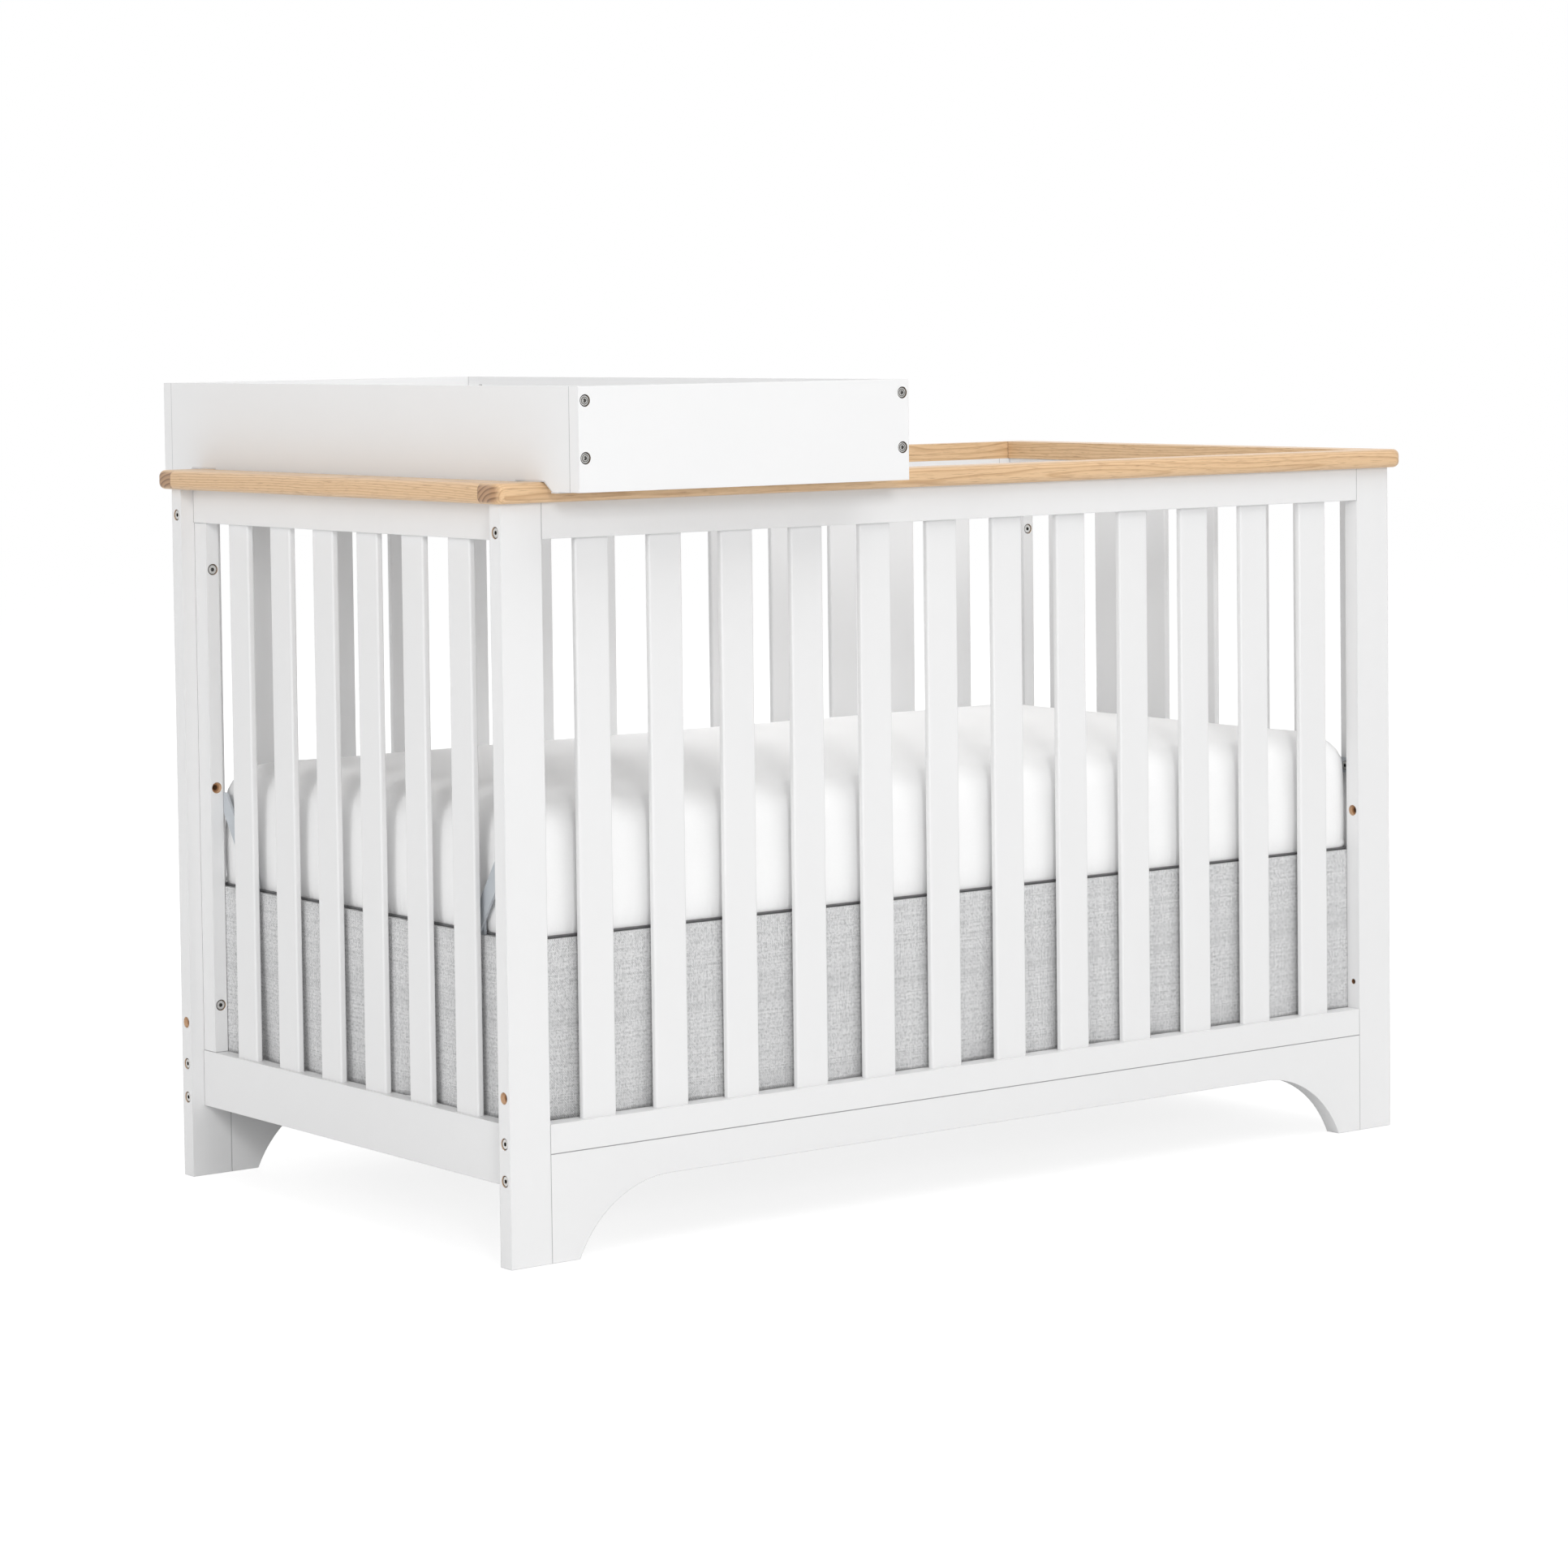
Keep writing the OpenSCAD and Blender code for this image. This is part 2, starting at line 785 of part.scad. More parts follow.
// Front or rear board of the tray, in front of the ends of the side boards
module tray_long_board(rear) {
  color(paint)
    mirror([0, rear ? 1 : 0, 0])
      translate([tray_left, -tray_half_y, tray_bottom])
        difference() {
          cube([tray_width, board_thickness, tray_height]);
          for (x = [tray_bolt_inset, tray_width - tray_bolt_inset], z = [tray_bolt_low, tray_bolt_high])
            translate([x, 0, z])
              rotate([-90, 0, 0])
                bolt_hole(board_thickness + past);
          translate([board_thickness - groove_depth, board_thickness - groove_depth, base_height])
            cube([tray_width - 2 * board_thickness + 2 * groove_depth, groove_depth + past,
              base_thickness + 2 * tenon_clearance]);
        }
}

// Side board of the tray with a saddle notch over each long cap
module tray_side_board(right) {
  length = tray_length - 2 * board_thickness;
  color(paint)
    translate([tray_mid_x, 0, 0])
      mirror([right ? 1 : 0, 0, 0])
        translate([-tray_half_x, 0, 0])
          difference() {
            translate([0, -length / 2, tray_bottom])
              cube([board_thickness, length, tray_height]);
            for (side = [0, 1])
              mirror([0, side, 0]) {
                translate([-past, 0, 0])
                  rotate([90, 0, 90])
                    linear_extrude(board_thickness + 2 * past)
                      notch_outline(0);
                for (z = [tray_bolt_low, tray_bolt_high])
                  translate([0, length / 2, tray_bottom + z]) {
                    rod_y([tray_bolt_inset, -barrel_distance - barrel_diameter, 0],
                      barrel_distance + barrel_diameter + past, bolt_diameter + 2 * bolt_clearance);
                    rod_x([tray_barrel_floor, -barrel_distance, 0], board_thickness,
                      tray_barrel_diameter + 2 * nut_clearance);
                  }
              }
            translate([board_thickness - groove_depth, -length / 2 - past, tray_bottom + base_height])
              cube([groove_depth + past, length + 2 * past, base_thickness + 2 * tenon_clearance]);
          }
}

// Thickness of wood left outside the tray's barrel nuts
tray_barrel_floor = 3;

// Saddle notch in the y-z plane: a trapezium open at the bottom, drawn
// smaller all round by inset
module notch_outline(inset) {
  inner = cap_mid_y - notch_width / 2 + inset;
  outer = cap_mid_y + notch_width / 2 - inset;
  low = tray_bottom - past;
  drop = (notch_top - low) / (notch_top - tray_bottom);
  polygon([
    [inner - notch_inner_run * drop, low],
    [inner, notch_top - inset],
    [outer, notch_top - inset],
    [outer + notch_outer_run * drop, low]
  ]);
}

// Clear liner of one notch, with a foot under the board's outer part
module changer_saddles() {
  color("aliceblue", 0.6)
    for (right = [0, 1], side = [0, 1])
      translate([tray_mid_x, 0, 0])
        mirror([right, 0, 0])
          mirror([0, side, 0])
            translate([-tray_half_x, 0, 0]) {
              rotate([90, 0, 90])
                linear_extrude(board_thickness)
                  intersection() {
                    difference() {
                      notch_outline(0);
                      notch_outline(saddle_thickness);
                    }
                    translate([0, tray_bottom])
                      square([tray_length, tray_height]);
                  }
              translate([0, notch_end_y - saddle_thickness * 2, tray_bottom - saddle_thickness])
                cube([board_thickness, saddle_foot, saddle_thickness]);
            }
}

module changer_base() {
  half_x = tray_half_x - board_thickness + groove_depth - 0.5;
  half_y = tray_half_y - board_thickness + groove_depth - 0.5;
  bottom = tray_bottom + base_height + tenon_clearance;
  color(paint)
    box([tray_mid_x - half_x, -half_y, bottom], [tray_mid_x + half_x, half_y, bottom + base_thickness]);
}

// Repeats its children at the tray's eight bolts, drawn for the front left
module at_tray_bolts() {
  for (right = [0, 1], rear = [0, 1], z = [tray_bolt_low, tray_bolt_high])
    translate([tray_mid_x, 0, tray_bottom + z])
      mirror([right, 0, 0])
        mirror([0, rear, 0])
          translate([-tray_half_x + tray_bolt_inset, -tray_half_y, 0])
            children();
}

module changer_bolts() {
  color(nickel)
    at_tray_bolts()
      translate([0, counterbore_depth, 0])
        rotate([-90, 0, 0])
          bolt(board_thickness - counterbore_depth + barrel_distance + tray_barrel_diameter / 2);
}

module changer_barrel_nuts() {
  nut_length = 2 * (tray_bolt_inset - tray_barrel_floor);
  color(nickel)
    at_tray_bolts()
      translate([tray_barrel_floor - tray_bolt_inset, board_thickness + barrel_distance, 0])
        rotate([0, 90, 0])
          rotate([0, 0, 90])
            barrel_nut(tray_barrel_diameter, nut_length);
}

// ---- mattress support ----

// Long rail of the support, a steel angle under the straps
module support_rail(rear) {
  color(steel)
    translate([-support_half_x, crib_y, 0])
      mirror([0, rear ? 1 : 0, 0])
        translate([0, -support_half_y, strap_bottom])
          rotate([90, 0, 90])
            linear_extrude(2 * support_half_x)
              polygon([
                [0, 0],
                [angle_leg, 0],
                [angle_leg, -angle_thickness],
                [angle_thickness, -angle_thickness],
                [angle_thickness, -angle_leg],
                [0, -angle_leg]
              ]);
}

// End bar of the support with two ears that rise beside the hanger arms
module support_bar(right) {
  color(steel)
    in_end(right)
      translate([bar_outer, 0, 0])
        rotate([90, 0, 90])
          difference() {
            linear_extrude(plate_thickness)
              union() {
                translate([-support_half_y, deck_height - plate_width])
                  square([2 * support_half_y, plate_width]);
                for (side = [-1, 1])
                  translate([side * arm_foot_y, deck_height - past])
                    ear_outline();
              }
            for (side = [-1, 1])
              translate([side * arm_foot_y, arm_low_z, -past])
                cylinder(h = plate_thickness + 2 * past, d = rivet_bore);
          }
}

// Ear: a tab with a round top
module ear_outline() {
  translate([-plate_width / 2, 0])
    square([plate_width, arm_low_z - deck_height + past]);
  translate([0, arm_low_z - deck_height + past])
    circle(d = plate_width);
}

rivet_bore = rivet_diameter + 2 * nut_clearance;

// Hanger arms: a level tab on the batten and a diagonal down to the ear
module support_arms() {
  color(steel)
    at_corners()
      translate([end_inner + running_gap - half_length, 0, 0])
        mirror([0, 1, 0])
          rotate([90, 0, 90])
            difference() {
              linear_extrude(plate_thickness)
                arm_outline();
              translate([arm_tab_y, hanger_z, -past])
                cylinder(h = plate_thickness + 2 * past, d = bolt_diameter + 2 * nut_clearance);
              translate([arm_foot_y, arm_low_z, -past])
                cylinder(h = plate_thickness + 2 * past, d = rivet_bore);
            }
}

// Outline of an arm with a mitred bend and clipped corners
module arm_outline() {
  half = plate_width / 2;
  flat = plate_width / 4;
  along = [-cos(arm_slope), -sin(arm_slope)];
  across = [-sin(arm_slope), cos(arm_slope)];
  mitre = ([0, 1] + across) * half / (1 + across.y);
  tab = [arm_tab_y, hanger_z];
  bend = [arm_bend_y, hanger_z];
  foot = [arm_foot_y, arm_low_z];
  polygon([
    tab + [flat, half],
    tab + [half, flat],
    tab + [half, -flat],
    tab + [flat, -half],
    bend - mitre,
    foot - across * half + along * flat,
    foot - across * flat + along * half,
    foot + across * flat + along * half,
    foot + across * half + along * flat,
    bend + mitre
  ]);
}

// Rivets through each ear and arm
module support_rivets() {
  head = 1;
  color(nickel)
    at_corners()
      translate([bar_outer - plate_thickness - half_length, -arm_foot_y, arm_low_z])
        rotate([0, 90, 0]) {
          cylinder(h = 2 * plate_thickness, d = rivet_diameter);
          translate([0, 0, 2 * plate_thickness])
            cylinder(h = head / 2, d = rivet_diameter + 3);
        }
}

// Bolts that hold the arms to the battens, in the arms' own holes
module hanger_bolts() {
  color(nickel)
    at_corners()
      translate([end_inner + running_gap + plate_thickness - half_length, -batten_mid_y, hanger_z])
        rotate([0, -90, 0])
          bolt(plate_thickness);
}

module support_straps() {
  color(steel)
    for (i = [0 : strap_count - 1])
      translate([i * strap_pitch + strap_end_gap - support_half_x, crib_y - support_half_y, strap_bottom])
        cube([strap_width, 2 * support_half_y, strap_thickness]);
}

// ---- skirt ----

// Sheet that lies on the deck, with slots for the support's ears
module skirt_platform() {
  size = [2 * skirt_half_x, 2 * skirt_half_y];
  color("lightgray")
    difference() {
      translate([-size.x / 2, crib_y - size.y / 2, skirt_top - skirt_thickness])
        linear_extrude(skirt_thickness)
          rounded_outline(size, skirt_corner);
      at_corners()
        box([bar_outer - 0.5 - half_length, -arm_foot_y - plate_width / 2 - 0.5, deck_height],
          [bar_inner + 0.5 - half_length, -arm_foot_y + plate_width / 2 + 0.5, skirt_top + past]);
    }
}

fold_steps = 8;

// Hanging panel, drawn with its outer face on y = 0 and its soft folds
// growing inwards from the platform to the hem
module skirt_panel(width, folds) {
  columns = folds * fold_steps;
  high = skirt_top - skirt_thickness;
  hem = skirt_top - skirt_drop;
  points = [
    for (i = [0 : columns])
      let (
        x = width * (i / columns - 0.5),
        fold = skirt_fold_depth * (1 - cos(360 * i / fold_steps)) / 2
      )
      each [
        [x, 0, high],
        [x, fold, hem],
        [x, fold + skirt_thickness, hem],
        [x, skirt_thickness, high]
      ]
  ];
  around = [
    for (i = [0 : columns - 1], k = [0 : 3])
      let (
        a = 4 * i + k,
        b = 4 * i + (k + 1) % 4
      )
      each [[a, a + 4, b], [b, a + 4, b + 4]]
  ];
  last = 4 * columns;
  ends = [[0, 1, 2], [0, 2, 3], [last, last + 2, last + 1], [last, last + 3, last + 2]];
  polyhedron(points = points, faces = concat(around, ends));
}

module skirt_long_panel(rear) {
  color("lightgray")
    translate([0, crib_y + (rear ? skirt_half_y : -skirt_half_y), 0])
      mirror([0, rear ? 1 : 0, 0])
        skirt_panel(2 * skirt_half_x, skirt_long_folds);
}

module skirt_end_panel(right) {
  span = 2 * (skirt_half_y - skirt_thickness - running_gap);
  color("lightgray")
    mirror([right ? 1 : 0, 0, 0])
      translate([-skirt_half_x, crib_y, 0])
        rotate([0, 0, -90])
          skirt_panel(span, skirt_end_folds);
}

// ---- mattress ----

arc_steps = 8;
edge_steps = 6;
seam_steps = 4;
side_steps = 3;
top_steps = 5;

// Rounded rectangle with half sizes a and b and corner radius r
function plan(a, b, r) = [
  for (corner = [0 : 3], step = [0 : arc_steps])
    let (
      angle = corner * 90 + step * 90 / arc_steps,
      cx = (corner == 0 || corner == 3) ? a - r : r - a,
      cy = (corner < 2) ? b - r : r - b
    )
    [cx + r * cos(angle), cy + r * sin(angle)]
];

// Inset that the swelling side has at a height above the seam
side_top = mattress_thickness - mattress_edge_radius;
function swell(rise) =
  mattress_side_swell * pow(2 * (rise - seam_rise) / (side_top - seam_rise) - 1, 2);

// Corner radius of a ring: it follows the inset below the upper edge, and
// grows over that edge, so that the top's corners are rounder than the side's
edge_start = mattress_corner_radius - mattress_side_swell;
function ring_radius(ring) =
  ring[1] > side_top
    ? min(mattress_half_y - ring[0] - 1,
        edge_start + 0.55 * min(ring[0] - mattress_side_swell, mattress_edge_radius))
    : max(2, mattress_corner_radius - ring[0]);

// Rings of the mattress as [inset, height]: straight beside the piping,
// rounded over it, swelling up the side, rounded at the top and crowned
seam_rings = [
  for (i = [0 : seam_steps])
    let (
      angle = i * 90 / seam_steps,
      rise = seam_rise + mattress_seam_round * (1 - cos(angle))
    )
    [(seam_inset - mattress_side_swell) * (1 - sin(angle)) + swell(rise), rise]
];
side_rings = [
  for (i = [1 : side_steps])
    let (
      start = seam_rise + mattress_seam_round,
      rise = start + (side_top - start) * i / side_steps
    )
    [swell(rise), rise]
];
edge_rings = [
  for (i = [1 : edge_steps])
    let (angle = i * 90 / edge_steps)
    [mattress_side_swell + mattress_edge_radius * (1 - cos(angle)),
      side_top + mattress_edge_radius * sin(angle)]
];
top_rings = [
  for (i = [1 : top_steps])
    let (
      start = mattress_side_swell + mattress_edge_radius,
      share = 1 - i / top_steps
    )
    [start + (mattress_half_y - 6 - start) * (1 - share),
      mattress_thickness + mattress_crown * (1 - share * share)]
];
mattress_rings = concat([[seam_inset, 0]], seam_rings, side_rings, edge_rings, top_rings);

module mattress() {
  count = 4 * (arc_steps + 1);
  rings = len(mattress_rings);
  points = [
    for (ring = mattress_rings)
      for (p = plan(mattress_half_x - ring[0], mattress_half_y - ring[0], ring_radius(ring)))
        [p.x, p.y, ring[1]]
  ];
  middles = [[0, 0, 0], [0, 0, mattress_thickness + mattress_crown]];
  bottom_middle = count * rings;
  top_middle = bottom_middle + 1;
  walls = [
    for (ring = [0 : rings - 2], i = [0 : count - 1])
      let (
        a = ring * count + i,
        b = ring * count + (i + 1) % count
      )
      each [[a, a + count, b], [b, a + count, b + count]]
  ];
  bottom = [for (i = [0 : count - 1]) [bottom_middle, i, (i + 1) % count]];
  top = [
    for (i = [0 : count - 1])
      [top_middle, (rings - 1) * count + (i + 1) % count, (rings - 1) * count + i]
  ];
  color("whitesmoke")
    translate([0, crib_y, mattress_bottom])
      polyhedron(points = concat(points, middles), faces = concat(walls, bottom, top));
}

// Piping along the mattress's lower edge
module mattress_piping() {
  a = mattress_half_x - mattress_corner_radius;
  b = mattress_half_y - mattress_corner_radius;
  r = mattress_corner_radius - piping_back;
  color("dimgray")
    translate([0, crib_y, piping_z]) {
      for (side = [-1, 1]) {
        rod_x([-a, side * (b + r), 0], 2 * a, piping_diameter);
        rod_y([side * (a + r), -b, 0], 2 * b, piping_diameter);
      }
      for (corner = [0 : 3])
        translate([(corner == 0 || corner == 3) ? a : -a, corner < 2 ? b : -b, 0])
          rotate([0, 0, corner * 90])
            rotate_extrude(angle = 90)
              translate([r, 0])
                circle(d = piping_diameter);
    }
}

// ---- the object ----

stile(rear = false, right = false);  // front_left_stile
stile(rear = false, right = true);  // front_right_stile
stile(rear = true, right = false);  // rear_left_stile
stile(rear = true, right = true);  // rear_right_stile
long_rail(false, top_rail_bottom, top_rail_height, upper_bolt_z, false);  // front_top_rail
long_rail(true, top_rail_bottom, top_rail_height, upper_bolt_z, false);  // rear_top_rail
long_rail(false, apron_top, bottom_rail_height, rail_bolt_z, true);  // front_bottom_rail
long_rail(true, apron_top, bottom_rail_height, rail_bolt_z, true);  // rear_bottom_rail
apron(false);  // front_apron
apron(true);  // rear_apron
long_frame_slats(false);  // front_slats
long_frame_slats(true);  // rear_slats
end_rail(false, end_top_rail_bottom, end_top_rail_height, false);  // left_top_rail
end_rail(true, end_top_rail_bottom, end_top_rail_height, false);  // right_top_rail
end_rail(false, end_rail_bottom, end_bottom_rail_height, true);  // left_bottom_rail
end_rail(true, end_rail_bottom, end_bottom_rail_height, true);  // right_bottom_rail
batten(right = false, rear = false);  // left_front_batten
batten(right = false, rear = true);  // left_rear_batten
batten(right = true, rear = false);  // right_front_batten
batten(right = true, rear = true);  // right_rear_batten
end_panel_slats(false);  // left_slats
end_panel_slats(true);  // right_slats
long_cap(false);  // front_cap
long_cap(true);  // rear_cap
end_cap(false);  // left_cap
end_cap(true);  // right_cap
frame_bolts();
frame_barrel_nuts();
panel_bolts();
panel_inserts();
hanger_inserts();
cap_dowels();
apron_dowels();
tray_long_board(false);  // changer_front_board
tray_long_board(true);  // changer_rear_board
tray_side_board(false);  // changer_left_board
tray_side_board(true);  // changer_right_board
changer_base();
changer_saddles();
changer_bolts();
changer_barrel_nuts();
support_rail(false);  // support_front_rail
support_rail(true);  // support_rear_rail
support_bar(false);  // support_left_bar
support_bar(true);  // support_right_bar
support_arms();
support_rivets();
support_straps();
hanger_bolts();
skirt_platform();
skirt_long_panel(false);  // skirt_front
skirt_long_panel(true);  // skirt_rear
skirt_end_panel(false);  // skirt_left
skirt_end_panel(true);  // skirt_right
mattress();
mattress_piping();
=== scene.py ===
# %% [markdown]
# # Dressing a crib with a changer tray
# The crib comes from CAD as separate solids: stiles, rails, slats, wooden caps,
# a tray that straddles the caps, a steel mattress support and plain stand-ins
# for the mattress and its skirt. In this lesson Blender gives every solid its
# finish, and the soft pieces are made again as what they are: a foam mattress
# that swells in its cover, and sheets of linen that hang in gentle folds.
# The hard pieces already have their true shapes, so they are never moved.

# %% Load the frame
import math

import bpy
from mathutils import Matrix, Vector


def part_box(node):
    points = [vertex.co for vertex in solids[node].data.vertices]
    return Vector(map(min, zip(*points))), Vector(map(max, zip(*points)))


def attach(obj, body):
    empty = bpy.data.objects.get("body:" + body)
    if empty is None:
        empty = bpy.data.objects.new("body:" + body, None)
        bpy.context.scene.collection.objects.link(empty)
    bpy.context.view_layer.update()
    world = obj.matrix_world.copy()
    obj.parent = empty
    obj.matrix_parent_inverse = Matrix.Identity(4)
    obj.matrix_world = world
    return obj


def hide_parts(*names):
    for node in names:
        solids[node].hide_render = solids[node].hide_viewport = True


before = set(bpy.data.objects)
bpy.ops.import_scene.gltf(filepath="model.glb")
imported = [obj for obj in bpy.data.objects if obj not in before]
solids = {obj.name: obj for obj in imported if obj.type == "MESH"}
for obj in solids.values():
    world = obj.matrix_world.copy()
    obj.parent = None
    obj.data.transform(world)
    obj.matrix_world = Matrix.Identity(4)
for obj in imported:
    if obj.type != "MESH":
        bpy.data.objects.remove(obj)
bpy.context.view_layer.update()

# %% [markdown]
# ## The camera
# The photograph was taken from the front left, a little above the caps, with a
# long lens. Its place was worked out from the crib's own edges: the corners of
# the tray, the feet and every slat had to land on their places in the picture.
# A small shift of the lens keeps the uprights upright, as the photograph does.

# %% Place the camera
turn, dip, roll = 0.64565, 0.051798, -0.012324
camera_place = Vector((-3.4774, -4.6056, 1.0847))
ahead = Vector((math.sin(turn) * math.cos(dip), math.cos(turn) * math.cos(dip), -math.sin(dip)))
level = Vector((math.cos(turn), -math.sin(turn), 0))
upward = level.cross(ahead)
right = math.cos(roll) * level + math.sin(roll) * upward
top = math.cos(roll) * upward - math.sin(roll) * level

bpy.ops.object.camera_add()
camera = bpy.context.object
camera.name = "photo_camera"
aim = Matrix((right, top, -ahead)).transposed().to_4x4()
camera.matrix_world = Matrix.Translation(camera_place) @ aim
camera.data.sensor_width = 36
camera.data.lens = 102.08
camera.data.shift_y = -0.15
camera.data.clip_end = 50
bpy.context.scene.camera = camera
print("camera", round(camera_place.length, 2), "m away, turned", round(math.degrees(turn), 1), "degrees")

# %% [markdown]
# ## Light and floor
# A white crib needs soft light from all sides, or its shaded faces turn grey
# and its lit faces burn out. The world gives more than half of that light. The
# rest comes from soft boxes. The key is small and far away, a little to the left
# of the crib's front, so that both ends get as much and the slats' shadows fall
# almost behind the slats: on the mattress only their rounded tips show. One box
# overhead lights the mattress between the caps, and two fill the left side and
# the back. They only shade: no gloss shows them, or the key would glare on the
# caps' tops when the crib is seen from behind. What the camera and the metal
# see of the world is plain white. The floor tops its own brightness up to white
# for the camera alone, so the faint shadow under the crib stays.

# %% World, lamp and floor
scene = bpy.context.scene
scene.view_settings.view_transform = "Standard"
scene.world = bpy.data.worlds.new("soft_studio")
scene.world.use_nodes = True
sky = scene.world.node_tree
dome = sky.nodes["Background"]
dome.inputs["Color"].default_value = (1.0, 1.0, 1.0, 1)
dome.inputs["Strength"].default_value = 0.52
plain_white = sky.nodes.new("ShaderNodeBackground")
plain_white.inputs["Color"].default_value = (1, 1, 1, 1)
rays = sky.nodes.new("ShaderNodeLightPath")
seen = rays.outputs["Is Camera Ray"]
for ray in ("Is Glossy Ray", "Is Transmission Ray"):
    either = sky.nodes.new("ShaderNodeMath")
    either.operation = "MAXIMUM"
    sky.links.new(seen, either.inputs[0])
    sky.links.new(rays.outputs[ray], either.inputs[1])
    seen = either.outputs[0]
choose = sky.nodes.new("ShaderNodeMixShader")
sky.links.new(seen, choose.inputs[0])
sky.links.new(dome.outputs[0], choose.inputs[1])
sky.links.new(plain_white.outputs[0], choose.inputs[2])
sky.links.new(choose.outputs[0], sky.nodes["World Output"].inputs["Surface"])


def lamp(name, place, aim, size, watts):
    """A square soft box at a place, turned to face a point."""
    bpy.ops.object.light_add(type="AREA", location=place)
    box = bpy.context.object
    box.name = name
    box.rotation_euler = (Vector(aim) - Vector(place)).to_track_quat("-Z", "Y").to_euler()
    box.data.size = size
    box.data.energy = watts
    box.visible_camera = False
    box.visible_glossy = False
    return box


soft_boxes = [
    lamp("key_lamp", (-4.2, -8.6, 3.4), (0, 0, 0.55), 1.6, 205),
    lamp("top_lamp", (0.4, -2.0, 4.3), (0, 0, 0.5), 3.6, 82),
    lamp("left_fill", (-6.6, -2.4, 2.6), (0, 0, 0.5), 2.8, 118),
    lamp("rear_fill", (3.4, 6.8, 4.4), (0, 0, 0.5), 3.6, 200),
]

bpy.ops.object.select_all(action="DESELECT")
bpy.ops.mesh.primitive_plane_add(size=30, location=(0, 0, -0.0005))
floor = bpy.context.object
floor.name = "studio_floor"
print("soft boxes", [box.data.energy for box in soft_boxes], "W, floor", floor.dimensions.x, "m wide")

# %% [markdown]
# ## A short way to write materials
# A finish here is a small network of nodes. Writing each node and wire in full
# would bury the idea, so a little class keeps the network of one material and
# adds a node in one line: its feeds are other nodes, sockets or plain numbers.

# %% The finish helper
class Finish:
    """One procedural material, built node by node."""

    def __init__(self, name, **plain):
        self.material = bpy.data.materials.new(name)
        self.material.use_nodes = True
        self.tree = self.material.node_tree
        self.shader = self.tree.nodes["Principled BSDF"]
        for socket, value in plain.items():
            socket = socket.replace("_", " ").title().replace("Ior", "IOR")
            self.shader.inputs[socket].default_value = value
        coordinates = self.add("ShaderNodeTexCoord")
        self.place, self.uv = coordinates.outputs["Object"], coordinates.outputs["UV"]

    def feed(self, value, socket):
        """Wires a node or socket into a socket, or writes a plain value there."""
        if hasattr(value, "outputs"):
            value = value.outputs[0]
        if hasattr(value, "is_output"):
            self.tree.links.new(value, socket)
        else:
            socket.default_value = value

    def add(self, kind, *feeds, named=None, **settings):
        """Adds a node, sets it up, and feeds its inputs in order or by name."""
        node = self.tree.nodes.new(kind)
        for key, value in settings.items():
            setattr(node, key, value)
        for socket, value in zip(node.inputs, feeds):
            if value is not None:
                self.feed(value, socket)
        for key, value in (named or {}).items():
            self.feed(value, node.inputs[key])
        return node

    def sum(self, operation, *feeds):
        return self.add("ShaderNodeMath", *feeds, operation=operation)

    def split(self, vector=None):
        return self.add("ShaderNodeSeparateXYZ", vector or self.place).outputs

    def stretch(self, scale, turn=(0, 0, 0), shift=(0, 0, 0), vector=None):
        """The surface's coordinates, moved, turned and scaled."""
        return self.add("ShaderNodeMapping", vector or self.place, shift, turn, scale)

    def noise(self, scale, detail=3.0, vector=None):
        named = {"Vector": vector or self.place, "Scale": scale, "Detail": detail}
        return self.add("ShaderNodeTexNoise", named=named).outputs["Fac"]

    def ramp(self, value, *stops):
        """Turns a number into a colour through stops of (position, colour)."""
        node = self.add("ShaderNodeValToRGB", value)
        while len(node.color_ramp.elements) < len(stops):
            node.color_ramp.elements.new(0.5)
        for element, (position, colour) in zip(node.color_ramp.elements, stops):
            element.position = position
            element.color = (*colour, 1)
        return node

    def mix(self, share, low, high):
        """Mixes two colours, each a node's or a plain (red, green, blue)."""
        node = self.add("ShaderNodeMix", data_type="RGBA")
        for value, index in ((share, 0), (low, 6), (high, 7)):
            plain = isinstance(value, tuple) and len(value) == 3
            self.feed((*value, 1) if plain else value, node.inputs[index])
        return node.outputs[2]

    def between(self, value, low, high):
        """Spreads a number from 0..1 over low..high."""
        return self.add("ShaderNodeMapRange", value, 0.0, 1.0, low, high)

    def relief(self, height, depth, normal=None):
        """A bump of a real depth in metres."""
        named = {"Height": height, "Distance": depth, "Strength": 1.0}
        if normal is not None:
            named["Normal"] = normal
        return self.add("ShaderNodeBump", named=named)

    def finish(self, colour=None, roughness=None, normal=None):
        for value, socket in ((colour, "Base Color"), (roughness, "Roughness"), (normal, "Normal")):
            if value is not None:
                self.feed(value, self.shader.inputs[socket])
        return self.material


def dress(names, material):
    """Puts a finish on CAD solids, in every slot they have."""
    for name in names:
        mesh = solids[name].data
        for index in range(len(mesh.materials)):
            mesh.materials[index] = material
    print(f"{material.name}: {len(names)} solids")


# %% [markdown]
# ## The floor's finish
# For rays that light the crib, the floor is plain pale paper. For the camera it
# is a dark paper with a glow added, so that it reads white in the open and only
# a little darker under the crib.

# %% Floor paper
paper = Finish("floor_paper")
paper_light = paper.add("ShaderNodeBsdfDiffuse", (0.90, 0.90, 0.90, 1))
speckle = paper.mix(paper.noise(40.0), (0.30, 0.30, 0.30), (0.32, 0.32, 0.32))
paper_seen = paper.add("ShaderNodeBsdfDiffuse", speckle)
glow = paper.add("ShaderNodeEmission", (1, 1, 1, 1), 0.835)
both = paper.add("ShaderNodeAddShader", paper_seen, glow)
view_ray = paper.add("ShaderNodeLightPath").outputs["Is Camera Ray"]
paper_mix = paper.add("ShaderNodeMixShader", view_ray, paper_light, both)
paper.feed(paper_mix, paper.tree.nodes["Material Output"].inputs["Surface"])
floor.data.materials.append(paper.material)
print("floor paper glows at", glow.inputs[1].default_value)

